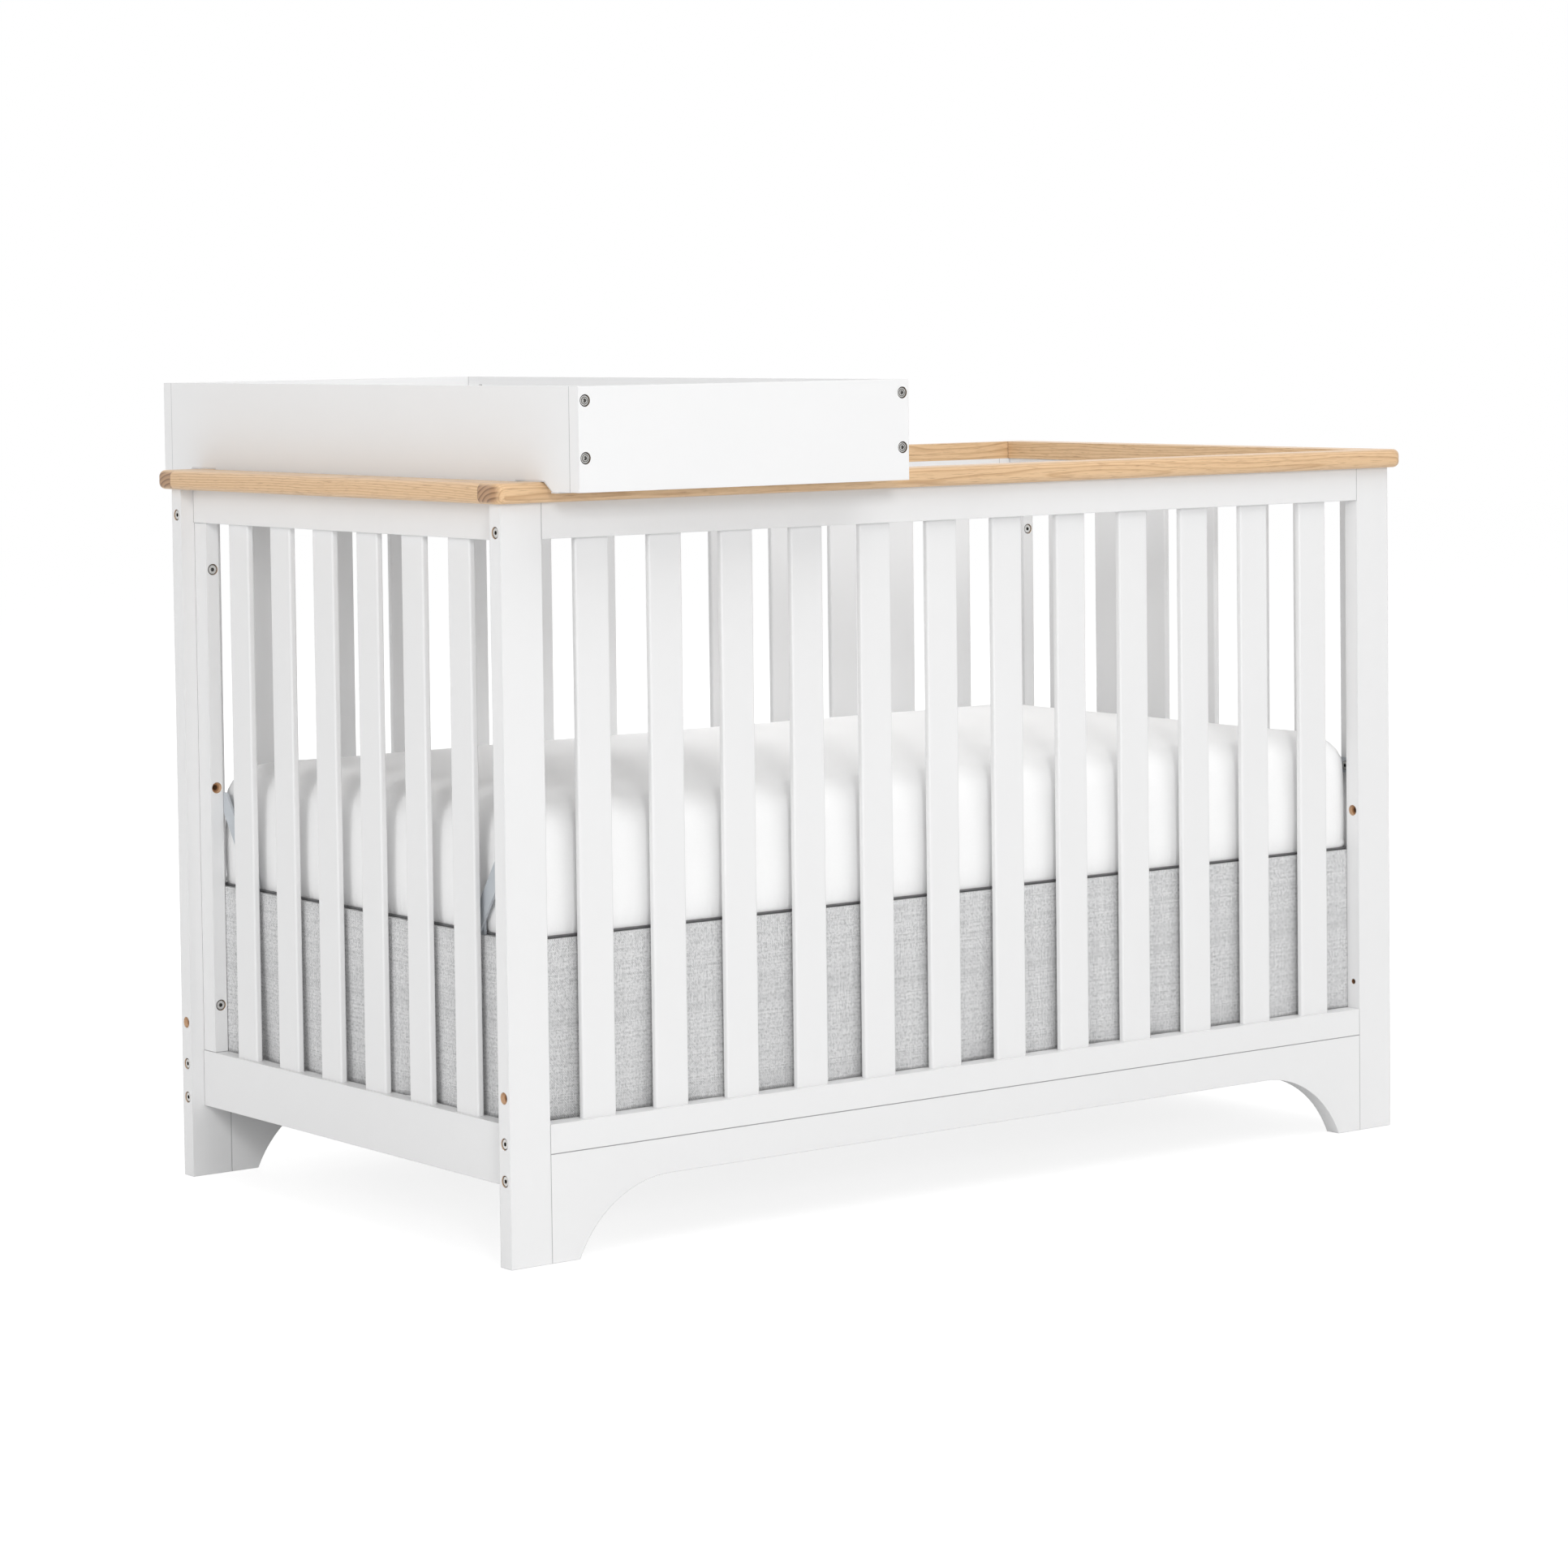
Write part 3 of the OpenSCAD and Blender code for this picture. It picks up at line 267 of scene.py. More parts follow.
# %% [markdown]
# ## White lacquer
# The frame is sprayed with a satin white lacquer. A sprayed film is not quite
# flat: it has a faint orange peel, the wood's grain telegraphs through it, and
# it rounds every edge a little, which the Bevel node shows without touching the
# mesh. Where two painted pieces butt together, a hairline stays between them.
# It is drawn where the pieces really meet, by the distance from that plane.

# %% Masks by place
CRIB_Y = -0.009  # the crib's middle plane, as the tray reaches further out at the rear
STILE_X = 0.646  # where the long rails meet the stiles
END_Y = 0.3555  # how far from the middle plane the end pieces meet the stiles and long caps


def offset(finish, axis, middle=0.0):
    """Distance from a middle plane along one axis."""
    return finish.sum("ABSOLUTE", finish.sum("SUBTRACT", finish.split()["xyz".index(axis)], middle))


def hairline(finish, lines, half=0.0009):
    """1 on the joints. Each line is (axis, middle, distance from the middle)."""
    nearest = 1.0
    for axis, middle, distance in lines:
        gap = finish.sum("ABSOLUTE", finish.sum("SUBTRACT", offset(finish, axis, middle), distance))
        nearest = finish.sum("MINIMUM", gap, nearest)
    return finish.add("ShaderNodeMapRange", nearest, half, 0.35 * half, 0.0, 1.0)


def hole_distance(finish, across, middle, centre, levels, along, keep):
    """Distance from the nearest hole's axis, or at least 1 m where there is none.
    The holes run along one axis, at a distance (centre) across from a middle
    plane. levels are their heights, and keep is the stretch along them that counts."""
    side = finish.sum("SUBTRACT", offset(finish, across, middle), centre)
    nearest = 1.0
    for level_z in levels:
        nearest = finish.sum("MINIMUM", offset(finish, "z", level_z), nearest)
    squares = finish.sum("ADD", finish.sum("POWER", side, 2.0), finish.sum("POWER", nearest, 2.0))
    distance = finish.sum("SQRT", squares)
    depth = offset(finish, along[0], along[1])
    inside = finish.sum("MULTIPLY", finish.sum("GREATER_THAN", depth, keep[0]),
                        finish.sum("LESS_THAN", depth, keep[1]))
    return finish.sum("ADD", distance, finish.sum("SUBTRACT", 1.0, inside))


# %% [markdown]
# ## Bare wood in the holes, with painted shade
# The lacquer stops at the bolt holes. Their rims are pale bare wood, their
# bottoms are darker, and the bolt's own bore in the middle is painted nearly
# black, as shade in a deep hole. A ramp over the distance from the hole's axis
# gives all three.

# %% Lacquer
HAIRLINE_TONE = (0.30, 0.30, 0.305)
HOLE_RADIUS = 0.00712
# The first, nearly black stop is painted shade in the bolt's bore; the others are bare wood.
BARE_WOOD_AND_BORE_SHADE = ((0.34, (0.05, 0.026, 0.012)), (0.42, (0.30, 0.16, 0.08)),
             (0.62, (0.40, 0.23, 0.12)), (0.74, (0.68, 0.48, 0.32)))


def lacquer(name, white=0.785, holes=None, lines=(), edge=0.0014, peel=900.0,
            rough=(0.32, 0.46), lit=1.0):
    """Satin white lacquer over wood, with hairlines at its joints, bare wood
    inside its holes and painted shade in their bores. lit below 1 paints shade over the bare wood of
    holes that a bolt's head fills."""
    paint = Finish(name, specular_ior_level=0.4, coat_weight=0.1, coat_roughness=0.2)
    cloud = paint.noise(7.0, 4.0)
    orange_peel = paint.noise(peel, 2.0)
    grain = paint.noise(1.0, 4.0, paint.stretch((260, 260, 9)))
    soft_edge = paint.add("ShaderNodeBevel", edge, samples=6)
    tone = paint.mix(cloud, (white * 0.985, white * 0.985, white * 0.987), (white, white, white * 1.002))
    if lines:
        tone = paint.mix(hairline(paint, lines), tone, HAIRLINE_TONE)
    roughness = paint.between(paint.sum("ADD", cloud, paint.sum("MULTIPLY", orange_peel, 0.3)), *rough)
    if holes:
        distance = hole_distance(paint, **holes)
        drilled = paint.sum("MULTIPLY_ADD", paint.noise(700.0), 0.0012, distance)
        centimetres = paint.sum("DIVIDE", drilled, 0.01)
        # lit scales the bare wood down as painted shade where a bolt's head fills the hole.
        stops = [(place, tuple(lit * part for part in shade)) for place, shade in BARE_WOOD_AND_BORE_SHADE]
        bare_wood_and_shade = paint.ramp(centimetres, *stops)
        mask = paint.sum("LESS_THAN", distance, HOLE_RADIUS)
        tone = paint.mix(mask, tone, bare_wood_and_shade)
        roughness = paint.mix(mask, roughness.outputs[0], (0.85, 0.85, 0.85))
    height = paint.sum("ADD", paint.sum("MULTIPLY", orange_peel, 0.5), grain)
    return paint.finish(tone, roughness, paint.relief(height, 0.00006, soft_edge))


stile_holes = dict(across="y", middle=CRIB_Y, centre=0.36675, along=("x", 0.0), keep=(0.6463, 0.7017),
                   levels=(0.845, 0.425, 0.197, 0.144, 0.101))
batten_holes = dict(across="x", middle=0.0, centre=0.674, along=("y", CRIB_Y), keep=(0.3268, 0.3556),
                    levels=(0.221, 0.4985, 0.776))
stiles = [f"{side}_{end}_stile" for side in ("front", "rear") for end in ("left", "right")]
battens = [f"{end}_{side}_batten" for side in ("front", "rear") for end in ("left", "right")]
long_rails = [f"{side}_{part}" for side in ("front", "rear")
              for part in ("top_rail", "bottom_rail", "apron")]
end_rails = [f"{end}_{part}" for end in ("left", "right") for part in ("top_rail", "bottom_rail")]
slats = [f"{side}_slats" for side in ("front", "rear", "left", "right")]
beside_stiles = ("y", CRIB_Y, END_Y)
batten_ends = ("z", 0.498, 0.337)
above_aprons = ("z", 0.0, 0.127)

dress(stiles, lacquer("lacquer_stiles", holes=stile_holes))
dress(battens, lacquer("lacquer_battens", holes=batten_holes, lines=[batten_ends, beside_stiles]))
dress(long_rails, lacquer("lacquer_long_rails", lines=[("x", 0.0, STILE_X), above_aprons]))
dress(end_rails, lacquer("lacquer_end_rails", lines=[beside_stiles]))
dress(slats, lacquer("lacquer_slats"))

# %% [markdown]
# ## The tray's white boards
# The tray is made of flat boards with a harder, slightly brighter white coat.
# Its bolts sit in shallow counterbores, unpainted inside and painted dark with
# shade round the bolts' heads. These run along Y, at two places along X that
# mirror each other about the tray's own middle, which is read from the front
# board. The front and rear boards cover the ends of the side boards. That joint
# is drawn on the side boards alone, because on the front board it would cover a
# whole face.

# %% Tray lacquer
tray_low, tray_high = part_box("changer_front_board")
tray_middle = (tray_low.x + tray_high.x) / 2
bolt_from_end = 0.00925
tray_holes = dict(across="x", middle=tray_middle, along=("y", 0.0), keep=(0.0, 0.4737),
                  centre=(tray_high.x - tray_low.x) / 2 - bolt_from_end, levels=(0.930, 0.995))
tray_coat = dict(white=0.805, edge=0.0009, peel=1100.0, rough=(0.24, 0.36))
# lit=0.3 is painted shade over the bare wood round the bolts' heads.
dress(["changer_front_board", "changer_rear_board"],
      lacquer("lacquer_tray", holes=tray_holes, lit=0.3, **tray_coat))
dress(["changer_left_board", "changer_right_board", "changer_base"],
      lacquer("lacquer_tray_sides", lines=[("y", 0.0, 0.4555)], **tray_coat))

# %% [markdown]
# ## Natural pine
# The caps are clear-lacquered pine. Wood is a stack of yearly rings round a
# pith that lies outside the board: cut along, the rings draw long flames, and
# cut across, on the cap's ends, they draw arcs. One network does both, because
# it measures the distance from the pith's line and bends it slowly along the
# length. The arcs on the two long caps' ends get a centre of their own, low in
# the board, so that they lean as the real ones do. Each ring starts pale and
# ends in a thin dark line. Fine fibres and short pores run along the board. The
# end caps run the other way, so their coordinates are turned by a right angle
# first.

# %% Pine
def ring_distance(wood, y, z, centre):
    """How far a point is from the line round which the rings grew."""
    off_y = wood.sum("POWER", wood.sum("SUBTRACT", y, centre[0]), 2.0)
    off_z = wood.sum("POWER", wood.sum("SUBTRACT", z, centre[1]), 2.0)
    return wood.sum("SQRT", wood.sum("ADD", off_y, off_z))


RINGS_PER_METRE, END_RINGS_PER_METRE = 300.0, 170.0
SPRING_PALE, SPRING_WARM, SUMMER = (0.745, 0.515, 0.305), (0.655, 0.43, 0.235), (0.46, 0.265, 0.125)
PORE, CAP_JOINT = (0.40, 0.24, 0.125), (0.20, 0.11, 0.055)
CUT_END = ((0.0, (0.45, 0.27, 0.15)), (0.45, (0.385, 0.225, 0.12)),
           (0.8, (0.19, 0.10, 0.048)), (1.0, (0.43, 0.255, 0.14)))
SUMMER_SHARE = ((0.0, (0, 0, 0)), (0.52, (0.12, 0.12, 0.12)),
                (0.85, (1, 1, 1)), (0.97, (0.1, 0.1, 0.1)))


def pine(name, pith, across=False, seed=0.0, heart=None):
    """Clear-lacquered pine. pith is the (y, z) of the ring centre, in metres,
    in the board's own turned frame. heart is that of the stripes on a cut end."""
    wood = Finish(name, specular_ior_level=0.4, coat_weight=0.3, coat_roughness=0.22)
    turn = (0, 0, math.radians(90)) if across else (0, 0, 0)
    board = wood.stretch((1, 1, 1), turn)
    warp = wood.noise(1.0, 2.0, wood.stretch((3.4, 30, 30), (0, 0, 0), (seed, seed, 0), board))
    wander = wood.noise(1.0, 1.0, wood.stretch((1.1, 6, 6), (0, 0, 0), (0, seed, seed), board))
    _, y, z = wood.split(board)
    radius = ring_distance(wood, y, z, pith)
    rings = wood.sum("MULTIPLY_ADD", radius, RINGS_PER_METRE, wood.sum("MULTIPLY", wander, 13.0))
    rings = wood.sum("MULTIPLY_ADD", warp, 4.0, rings)
    year = wood.sum("FRACT", rings)
    strength = wood.noise(1.0, 1.0, wood.stretch((2.0, 60, 60), vector=board))
    fibre = wood.noise(1.0, 3.0, wood.stretch((16, 1000, 1000), vector=board))
    pores = wood.noise(1.0, 2.0, wood.stretch((45, 1300, 1300), vector=board))
    late = wood.ramp(year, *SUMMER_SHARE)
    late_share = wood.sum("MULTIPLY", late.outputs[0], wood.between(strength, 0.30, 1.1))
    tone = wood.mix(wood.between(fibre, -0.15, 0.75), SPRING_PALE, SPRING_WARM)
    tone = wood.mix(late_share, tone, SUMMER)
    pore_mask = wood.add("ShaderNodeMapRange", pores, 0.57, 0.68, 0.0, 0.7)
    tone = wood.mix(pore_mask, tone, PORE)
    face = wood.split(wood.add("ShaderNodeNewGeometry").outputs["Normal"])[1 if across else 0]
    end_grain = wood.add("ShaderNodeMapRange", wood.sum("ABSOLUTE", face), 0.45, 0.85, 0.0, 1.0)
    cut_radius = ring_distance(wood, y, z, heart or pith)
    cut_rings = wood.sum("MULTIPLY_ADD", cut_radius, END_RINGS_PER_METRE, warp)
    cut_end = wood.ramp(wood.sum("FRACT", cut_rings), *CUT_END).outputs[0]
    tone = wood.mix(end_grain, tone, cut_end)
    if across:
        tone = wood.mix(hairline(wood, [("y", CRIB_Y, END_Y)], 0.0011), tone, CAP_JOINT)
    soft_edge = wood.add("ShaderNodeBevel", 0.0012, samples=6)
    height = wood.sum("ADD", wood.sum("MULTIPLY", fibre, 0.6), wood.sum("MULTIPLY", pores, 0.4))
    return wood.finish(tone, wood.between(fibre, 0.34, 0.50), wood.relief(height, 0.00012, soft_edge))


dress(["front_cap"], pine("pine_front_cap", (-0.452, 0.868), seed=3.1, heart=(-0.402, 0.843)))
dress(["rear_cap"], pine("pine_rear_cap", (0.410, 0.868), seed=7.7, heart=(0.343, 0.843)))
dress(["left_cap"], pine("pine_left_cap", (-0.70, 0.805), across=True, seed=1.3))
dress(["right_cap"], pine("pine_right_cap", (0.69, 0.80), across=True, seed=5.9))
dress(["cap_dowels", "apron_dowels"], pine("pine_dowels", (0.0, 0.0), seed=2.2))

# %% [markdown]
# ## Metal parts
# The bolts are nickel plated: pale, a little warm, brushed by their turning,
# with painted shade in dark rings where their rims and sockets turn away or lie
# deep. The tray's bolts get one painted dark ring more, the shade of a groove
# round the socket, and a painted highlight on the socket floor.
# The mattress support is bent steel with a blue-grey coat, which is a fine
# powder finish, so it is dull and slightly grained rather than shiny. Scuffs
# are where plates rub each other, so a broad noise lightens it here and there.

# %% Nickel and coated steel
GROOVE, SOCKET_FLOOR = 0.0040, 0.0018  # radius in metres
SHADED_NICKEL = (0.05, 0.048, 0.045)


def nickel(name, bolts=None):
    """Brushed nickel plate, with painted shade on rims that turn away and in deep
    sockets. Round the axes of the bolts given, in the way that holes are, it has a painted dark ring,
    the shade of a groove, and a painted highlight on the socket floor."""
    plate = Finish(name, metallic=1.0)
    brushed = plate.noise(700.0, 2.0)
    patches = plate.noise(300.0, 3.0)
    tone = plate.ramp(patches, (0.35, (0.62, 0.61, 0.59)), (0.65, (0.84, 0.83, 0.81))).outputs[0]
    # Painted shade: rims whose rounded normal turns away, and hollows that the AO finds, are mixed
    # towards dark nickel.
    rounded = plate.add("ShaderNodeBevel", 0.0013, samples=8)
    flat = plate.add("ShaderNodeNewGeometry").outputs["Normal"]
    facing = plate.add("ShaderNodeVectorMath", rounded, flat, operation="DOT_PRODUCT").outputs["Value"]
    rim_shade = plate.add("ShaderNodeMapRange", facing, 0.995, 0.90, 0.0, 1.0)
    hollow = plate.add("ShaderNodeAmbientOcclusion", named={"Distance": 0.0035}, samples=8).outputs["AO"]
    hollow_shade = plate.add("ShaderNodeMapRange", hollow, 0.90, 0.45, 0.0, 0.9)
    dark = plate.sum("MAXIMUM", rim_shade, hollow_shade)
    if bolts:
        distance = hole_distance(plate, **bolts)
        # Painted shade in a dark ring where a groove would lie, and a painted highlight: the socket
        # floor loses its shade.
        from_groove = plate.sum("ABSOLUTE", plate.sum("SUBTRACT", distance, GROOVE))
        groove = plate.add("ShaderNodeMapRange", from_groove, 0.0008, 0.0003, 0.0, 0.9)
        outside_floor = plate.add("ShaderNodeMapRange", distance, SOCKET_FLOOR - 0.0004, SOCKET_FLOOR,
                                  0.15, 1.0)
        dark = plate.sum("MULTIPLY", plate.sum("MAXIMUM", dark, groove), outside_floor)
    return plate.finish(plate.mix(dark, tone, SHADED_NICKEL), plate.between(brushed, 0.16, 0.34),
                        plate.relief(brushed, 0.00003, rounded))


dress(["frame_bolts", "frame_barrel_nuts", "panel_bolts", "panel_inserts", "hanger_inserts",
       "changer_barrel_nuts", "support_rivets", "hanger_bolts"], nickel("nickel_plate"))
dress(["changer_bolts"], nickel("nickel_tray_bolts", {**tray_holes, "keep": (0.0, 0.5)}))

powder = Finish("powder_coat", metallic=0.0, specular_ior_level=0.5)
pebble = powder.noise(1400.0, 2.0)
rubbed = powder.noise(18.0, 4.0)
coat_tone = powder.ramp(rubbed, (0.35, (0.46, 0.49, 0.525)), (0.75, (0.56, 0.59, 0.62))).outputs[0]
powder.finish(coat_tone, powder.between(pebble, 0.42, 0.62), powder.relief(pebble, 0.00008))
dress(["support_front_rail", "support_rear_rail", "support_left_bar", "support_right_bar",
       "support_arms", "support_straps"], powder.material)

# %% [markdown]
# ## Clear saddle liners
# Under each notch of the tray a clear plastic saddle keeps the caps from being
# scratched. It is a bent sheet, so it lets light through, catches it on its
# rounded edges and is faintly hazy where it was moulded.

# %% Clear plastic
liner = Finish("clear_plastic", base_color=(0.96, 0.965, 0.975, 1), ior=1.49, transmission_weight=0.35)
haze = liner.noise(90.0, 3.0)
liner.finish(None, liner.between(haze, 0.08, 0.28), liner.relief(haze, 0.00006))
dress(["changer_saddles"], liner.material)

# %% [markdown]
# ## Cloth finishes
# The skirt is a linen chambray: pale threads cross grey ones, and now and then
# a thread is thicker. Its threads follow the sheet, so the pattern reads the
# sheet's own UV map, which is laid out in metres. The mattress cover is a
# smooth white knit, whose tiny loops only show as a soft grain, and the piping
# under it is a dark cord. Those two have no UV map and read the object's
# coordinates.

# %% Linen, knit and piping
HEM = 0.020
THREAD = 0.0015
STITCH_LINE = HEM - 0.002


def threads(cloth, axis, pitch, wander):
    """Height across each thread of one direction, and a tone per thread."""
    run = cloth.sum("DIVIDE", cloth.sum("MULTIPLY_ADD", wander, 0.0016, axis), pitch)
    rise = cloth.sum("SINE", cloth.sum("MULTIPLY", cloth.sum("FRACT", run), math.pi))
    own = cloth.add("ShaderNodeTexWhiteNoise", noise_dimensions="1D",
                    named={"W": cloth.sum("FLOOR", run)})
    return run, rise, own.outputs["Value"]


def linen(hem_line):
    """Grey and white chambray with slubs, and stitches along a hem line."""
    cloth = Finish("linen_hemmed" if hem_line else "linen", specular_ior_level=0.12,
                   sheen_weight=0.2, sheen_roughness=0.5)

    def spread(value, low, high, most):
        """A share from 0 to most, as a value goes from low to high."""
        return cloth.add("ShaderNodeMapRange", value, low, high, 0.0, most)

    u, v, _ = cloth.split(cloth.uv)
    uneven = cloth.noise(1.0, 2.0, cloth.stretch((120, 120, 1), vector=cloth.uv))
    warp_run, warp, warp_tone = threads(cloth, u, THREAD, uneven)
    weft_run, weft, weft_tone = threads(cloth, v, THREAD, uneven)
    diagonal = cloth.sum("ADD", cloth.sum("FLOOR", warp_run), cloth.sum("FLOOR", weft_run))
    checker = cloth.sum("FRACT", cloth.sum("MULTIPLY_ADD", diagonal, 0.5, 0.01))
    over = cloth.sum("LESS_THAN", checker, 0.3)
    height = cloth.sum("ADD", cloth.sum("MULTIPLY", over, warp),
                       cloth.sum("MULTIPLY", cloth.sum("SUBTRACT", 1.0, over), weft))
    slub_across = cloth.noise(1.0, 2.0, cloth.stretch((110, 700, 1), vector=cloth.uv))
    slub_down = cloth.noise(1.0, 2.0, cloth.stretch((620, 60, 1), vector=cloth.uv))
    heather = cloth.noise(1.0, 2.0, cloth.stretch((420, 300, 1), vector=cloth.uv))
    pale = cloth.mix(warp_tone, (0.89, 0.89, 0.89), (0.72, 0.72, 0.725))
    grey = cloth.mix(weft_tone, (0.74, 0.74, 0.745), (0.42, 0.425, 0.43))
    tone = cloth.mix(over, grey, pale)
    tone = cloth.mix(spread(slub_across, 0.50, 0.76, 0.45), tone, (0.40, 0.405, 0.41))
    tone = cloth.mix(spread(slub_down, 0.44, 0.72, 0.6), tone, (0.90, 0.90, 0.90))
    tone = cloth.mix(spread(heather, 0.48, 0.70, 0.7), tone, (0.34, 0.345, 0.35))
    # Painted shade: where the threads lie low, between each other, the tone is mixed towards dark grey.
    tone = cloth.mix(cloth.between(height, 0.30, 0.0), tone, (0.30, 0.30, 0.31))
    if hem_line:
        from_line = cloth.sum("ABSOLUTE", cloth.sum("SUBTRACT", v, STITCH_LINE))
        dash = cloth.sum("LESS_THAN", cloth.sum("FRACT", cloth.sum("DIVIDE", u, 0.0034)), 0.72)
        stitch = cloth.sum("MULTIPLY", dash, spread(from_line, 0.0006, 0.0003, 1.0))
        tone = cloth.mix(stitch, tone, (0.66, 0.66, 0.665))
        sewn = cloth.sum("ADD", spread(from_line, 0.0, 0.0016, 1.0), stitch)
        height = cloth.sum("ADD", cloth.sum("MULTIPLY", height, 0.4), sewn)
    rough = cloth.between(height, 0.96, 0.82)
    return cloth.finish(tone, rough, cloth.relief(height, 0.00022))


def knit():
    """Smooth white knit cover with small puckers above its lower seam, and painted shade that darkens it
    a little there.
    """
    cover = Finish("cover_knit", sheen_weight=0.12, sheen_roughness=0.6, specular_ior_level=0.2)
    loops = cover.noise(1.0, 2.0, cover.stretch((620, 620, 430)))
    bumps = cover.noise(240.0, 3.0)
    soft = cover.noise(9.0, 3.0)
    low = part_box("mattress")[0].z
    pucker = cover.noise(1.0, 2.0, cover.stretch((150, 150, 14)))
    above = cover.sum("SUBTRACT", cover.split()[2], low)
    near_seam = cover.add("ShaderNodeMapRange", above, 0.006, 0.042, 1.0, 0.0)
    tone = cover.mix(loops, (0.935, 0.935, 0.935), (0.965, 0.965, 0.965))
    # Painted shade: the cover is mixed a little darker just above the lower seam, where it rounds under.
    tone = cover.mix(cover.sum("MULTIPLY", near_seam, 0.25), tone, (0.88, 0.88, 0.885))
    fine = cover.relief(cover.sum("ADD", loops, bumps), 0.00018)
    drawn = cover.relief(cover.sum("MULTIPLY", pucker, near_seam), 0.0016, fine)
    wide = cover.relief(soft, 0.0012, drawn)
    return cover.finish(tone, cover.between(bumps, 0.78, 0.94), wide)


linen_cloth, linen_hemmed, cover_knit = linen(False), linen(True), knit()
cord_cloth = Finish("piping_cord", sheen_weight=0.2, specular_ior_level=0.2)
ply = cord_cloth.noise(1.0, 2.0, cord_cloth.stretch((1500, 1500, 2600), (0.5, 0.5, 0)))
dark_grey = cord_cloth.ramp(ply, (0.3, (0.09, 0.09, 0.093)), (0.7, (0.20, 0.20, 0.205)))
cord_cloth.finish(dark_grey, cord_cloth.between(ply, 0.75, 0.95), cord_cloth.relief(ply, 0.0002))
dress(["mattress_piping"], cord_cloth.material)

# %% [markdown]
# ## Tools for making a piece
# The soft pieces are modelled with Blender's own operators. An operator works
# on everything that is selected, so a new piece starts from an empty selection.

# %% Modelling helpers
def start(operator, **settings):
    """Adds a primitive with nothing else selected, and returns it."""
    bpy.ops.object.select_all(action="DESELECT")
    operator(**settings)
    return bpy.context.object


def settle(piece):
    """Back to object mode, with the piece's place written into its mesh."""
    if bpy.context.mode != "OBJECT":
        bpy.ops.object.mode_set(mode="OBJECT")
    bpy.ops.object.transform_apply(location=True, rotation=True, scale=True)


def apply_modifier(piece, kind, **settings):
    """Adds a modifier, sets it up and applies it at once."""
    modifier = piece.modifiers.new(kind.lower(), kind)
    for key, value in settings.items():
        setattr(modifier, key, value)
    bpy.context.view_layer.objects.active = piece
    bpy.ops.object.modifier_apply(modifier=modifier.name)


# %% [markdown]
# ## The mattress
# A crib mattress is a block of firm foam in a tight cover. The CAD solid has
# the block's shape, so a copy of it is the start: its loose triangles are
# merged, it is drawn in a little, and it is remeshed evenly. Then cloth
# pressure swells it: broad faces rise most, while the seamed bottom stays flat
# on the support. Foam is firm, so the swelling is held to a few millimetres,
# and the result is fitted to its place between the hangers.

# %% Copy and remesh the block
low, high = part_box("mattress")
bpy.ops.object.select_all(action="DESELECT")
mattress = bpy.data.objects.new("mattress_foam", solids["mattress"].data.copy())
scene.collection.objects.link(mattress)
bpy.context.view_layer.objects.active = mattress
mattress.select_set(True)
bpy.ops.object.mode_set(mode="EDIT")
bpy.ops.mesh.select_all(action="SELECT")
bpy.ops.mesh.remove_doubles(threshold=0.0001)
bpy.ops.object.mode_set(mode="OBJECT")


def fit(piece, low, high):
    """Scales the mesh by a per cent or two, so that it fills a box."""
    points = [point.co for point in piece.data.vertices]
    for axis in range(3):
        least, most = min(p[axis] for p in points), max(p[axis] for p in points)
        scale = (high[axis] - low[axis]) / (most - least)
        for point in points:
            point[axis] = low[axis] + (point[axis] - least) * scale


SWELL, VOXEL = 0.005, 0.0105
drawn_in = Vector((SWELL / 2, SWELL / 2, 0))
fit(mattress, low + drawn_in, high - drawn_in - Vector((0, 0, SWELL)))
apply_modifier(mattress, "REMESH", mode="VOXEL", voxel_size=VOXEL)
print("mattress block", len(mattress.data.vertices), "points",
      [round(v, 3) for v in mattress.dimensions])

# %% Swell it in its cover
def swell(piece, limit, frames=20):
    """Blows the piece up with cloth pressure, then draws all moves in so that
    the widest is the limit. The flat bottom is pinned."""
    rest = [point.co.copy() for point in piece.data.vertices]
    floor_z = min(point.z for point in rest)
    pins = piece.vertex_groups.new(name="seam")
    pins.add([index for index, point in enumerate(rest) if point.z < floor_z + 0.006], 1.0, "REPLACE")
    modifier = piece.modifiers.new("cover", "CLOTH")
    cloth = modifier.settings
    cloth.quality = 4
    cloth.mass = 0.3
    cloth.use_pressure = True
    cloth.uniform_pressure_force = 4
    cloth.effector_weights.gravity = 0
    cloth.vertex_group_mass = "seam"
    cloth.tension_stiffness = cloth.compression_stiffness = 25
    cloth.bending_stiffness = 8
    modifier.collision_settings.use_collision = False
    for step in range(1, frames + 1):
        scene.frame_set(step)
    shaped = piece.evaluated_get(bpy.context.evaluated_depsgraph_get())
    moves = [after.co - before for after, before in zip(shaped.to_mesh().vertices, rest)]
    shaped.to_mesh_clear()
    piece.modifiers.remove(modifier)
    scene.frame_set(1)
    most = max(move.length for move in moves)
    for point, before, move in zip(piece.data.vertices, rest, moves):
        if move.length > 0:
            point.co = before + move * (limit / move.length) * (move.length / most) ** 0.7
    return most


print("cloth moved up to", round(swell(mattress, SWELL), 4), "m")
apply_modifier(mattress, "SUBSURF", levels=1, render_levels=1)
spare = Vector((0.0003, 0.0003, 0))
fit(mattress, low + spare, high - spare)
print("mattress", len(mattress.data.polygons), "faces", [round(v, 3) for v in mattress.dimensions])

# %% [markdown]
# ## The lower seam
# Remeshing blurs anything finer than its voxels, so the lower seam comes after
# it. A few bisect cuts give the sides rows of points close to the bottom, and
# these are moved in behind the piping and out again over it, as the cover is
# drawn in by its seam.

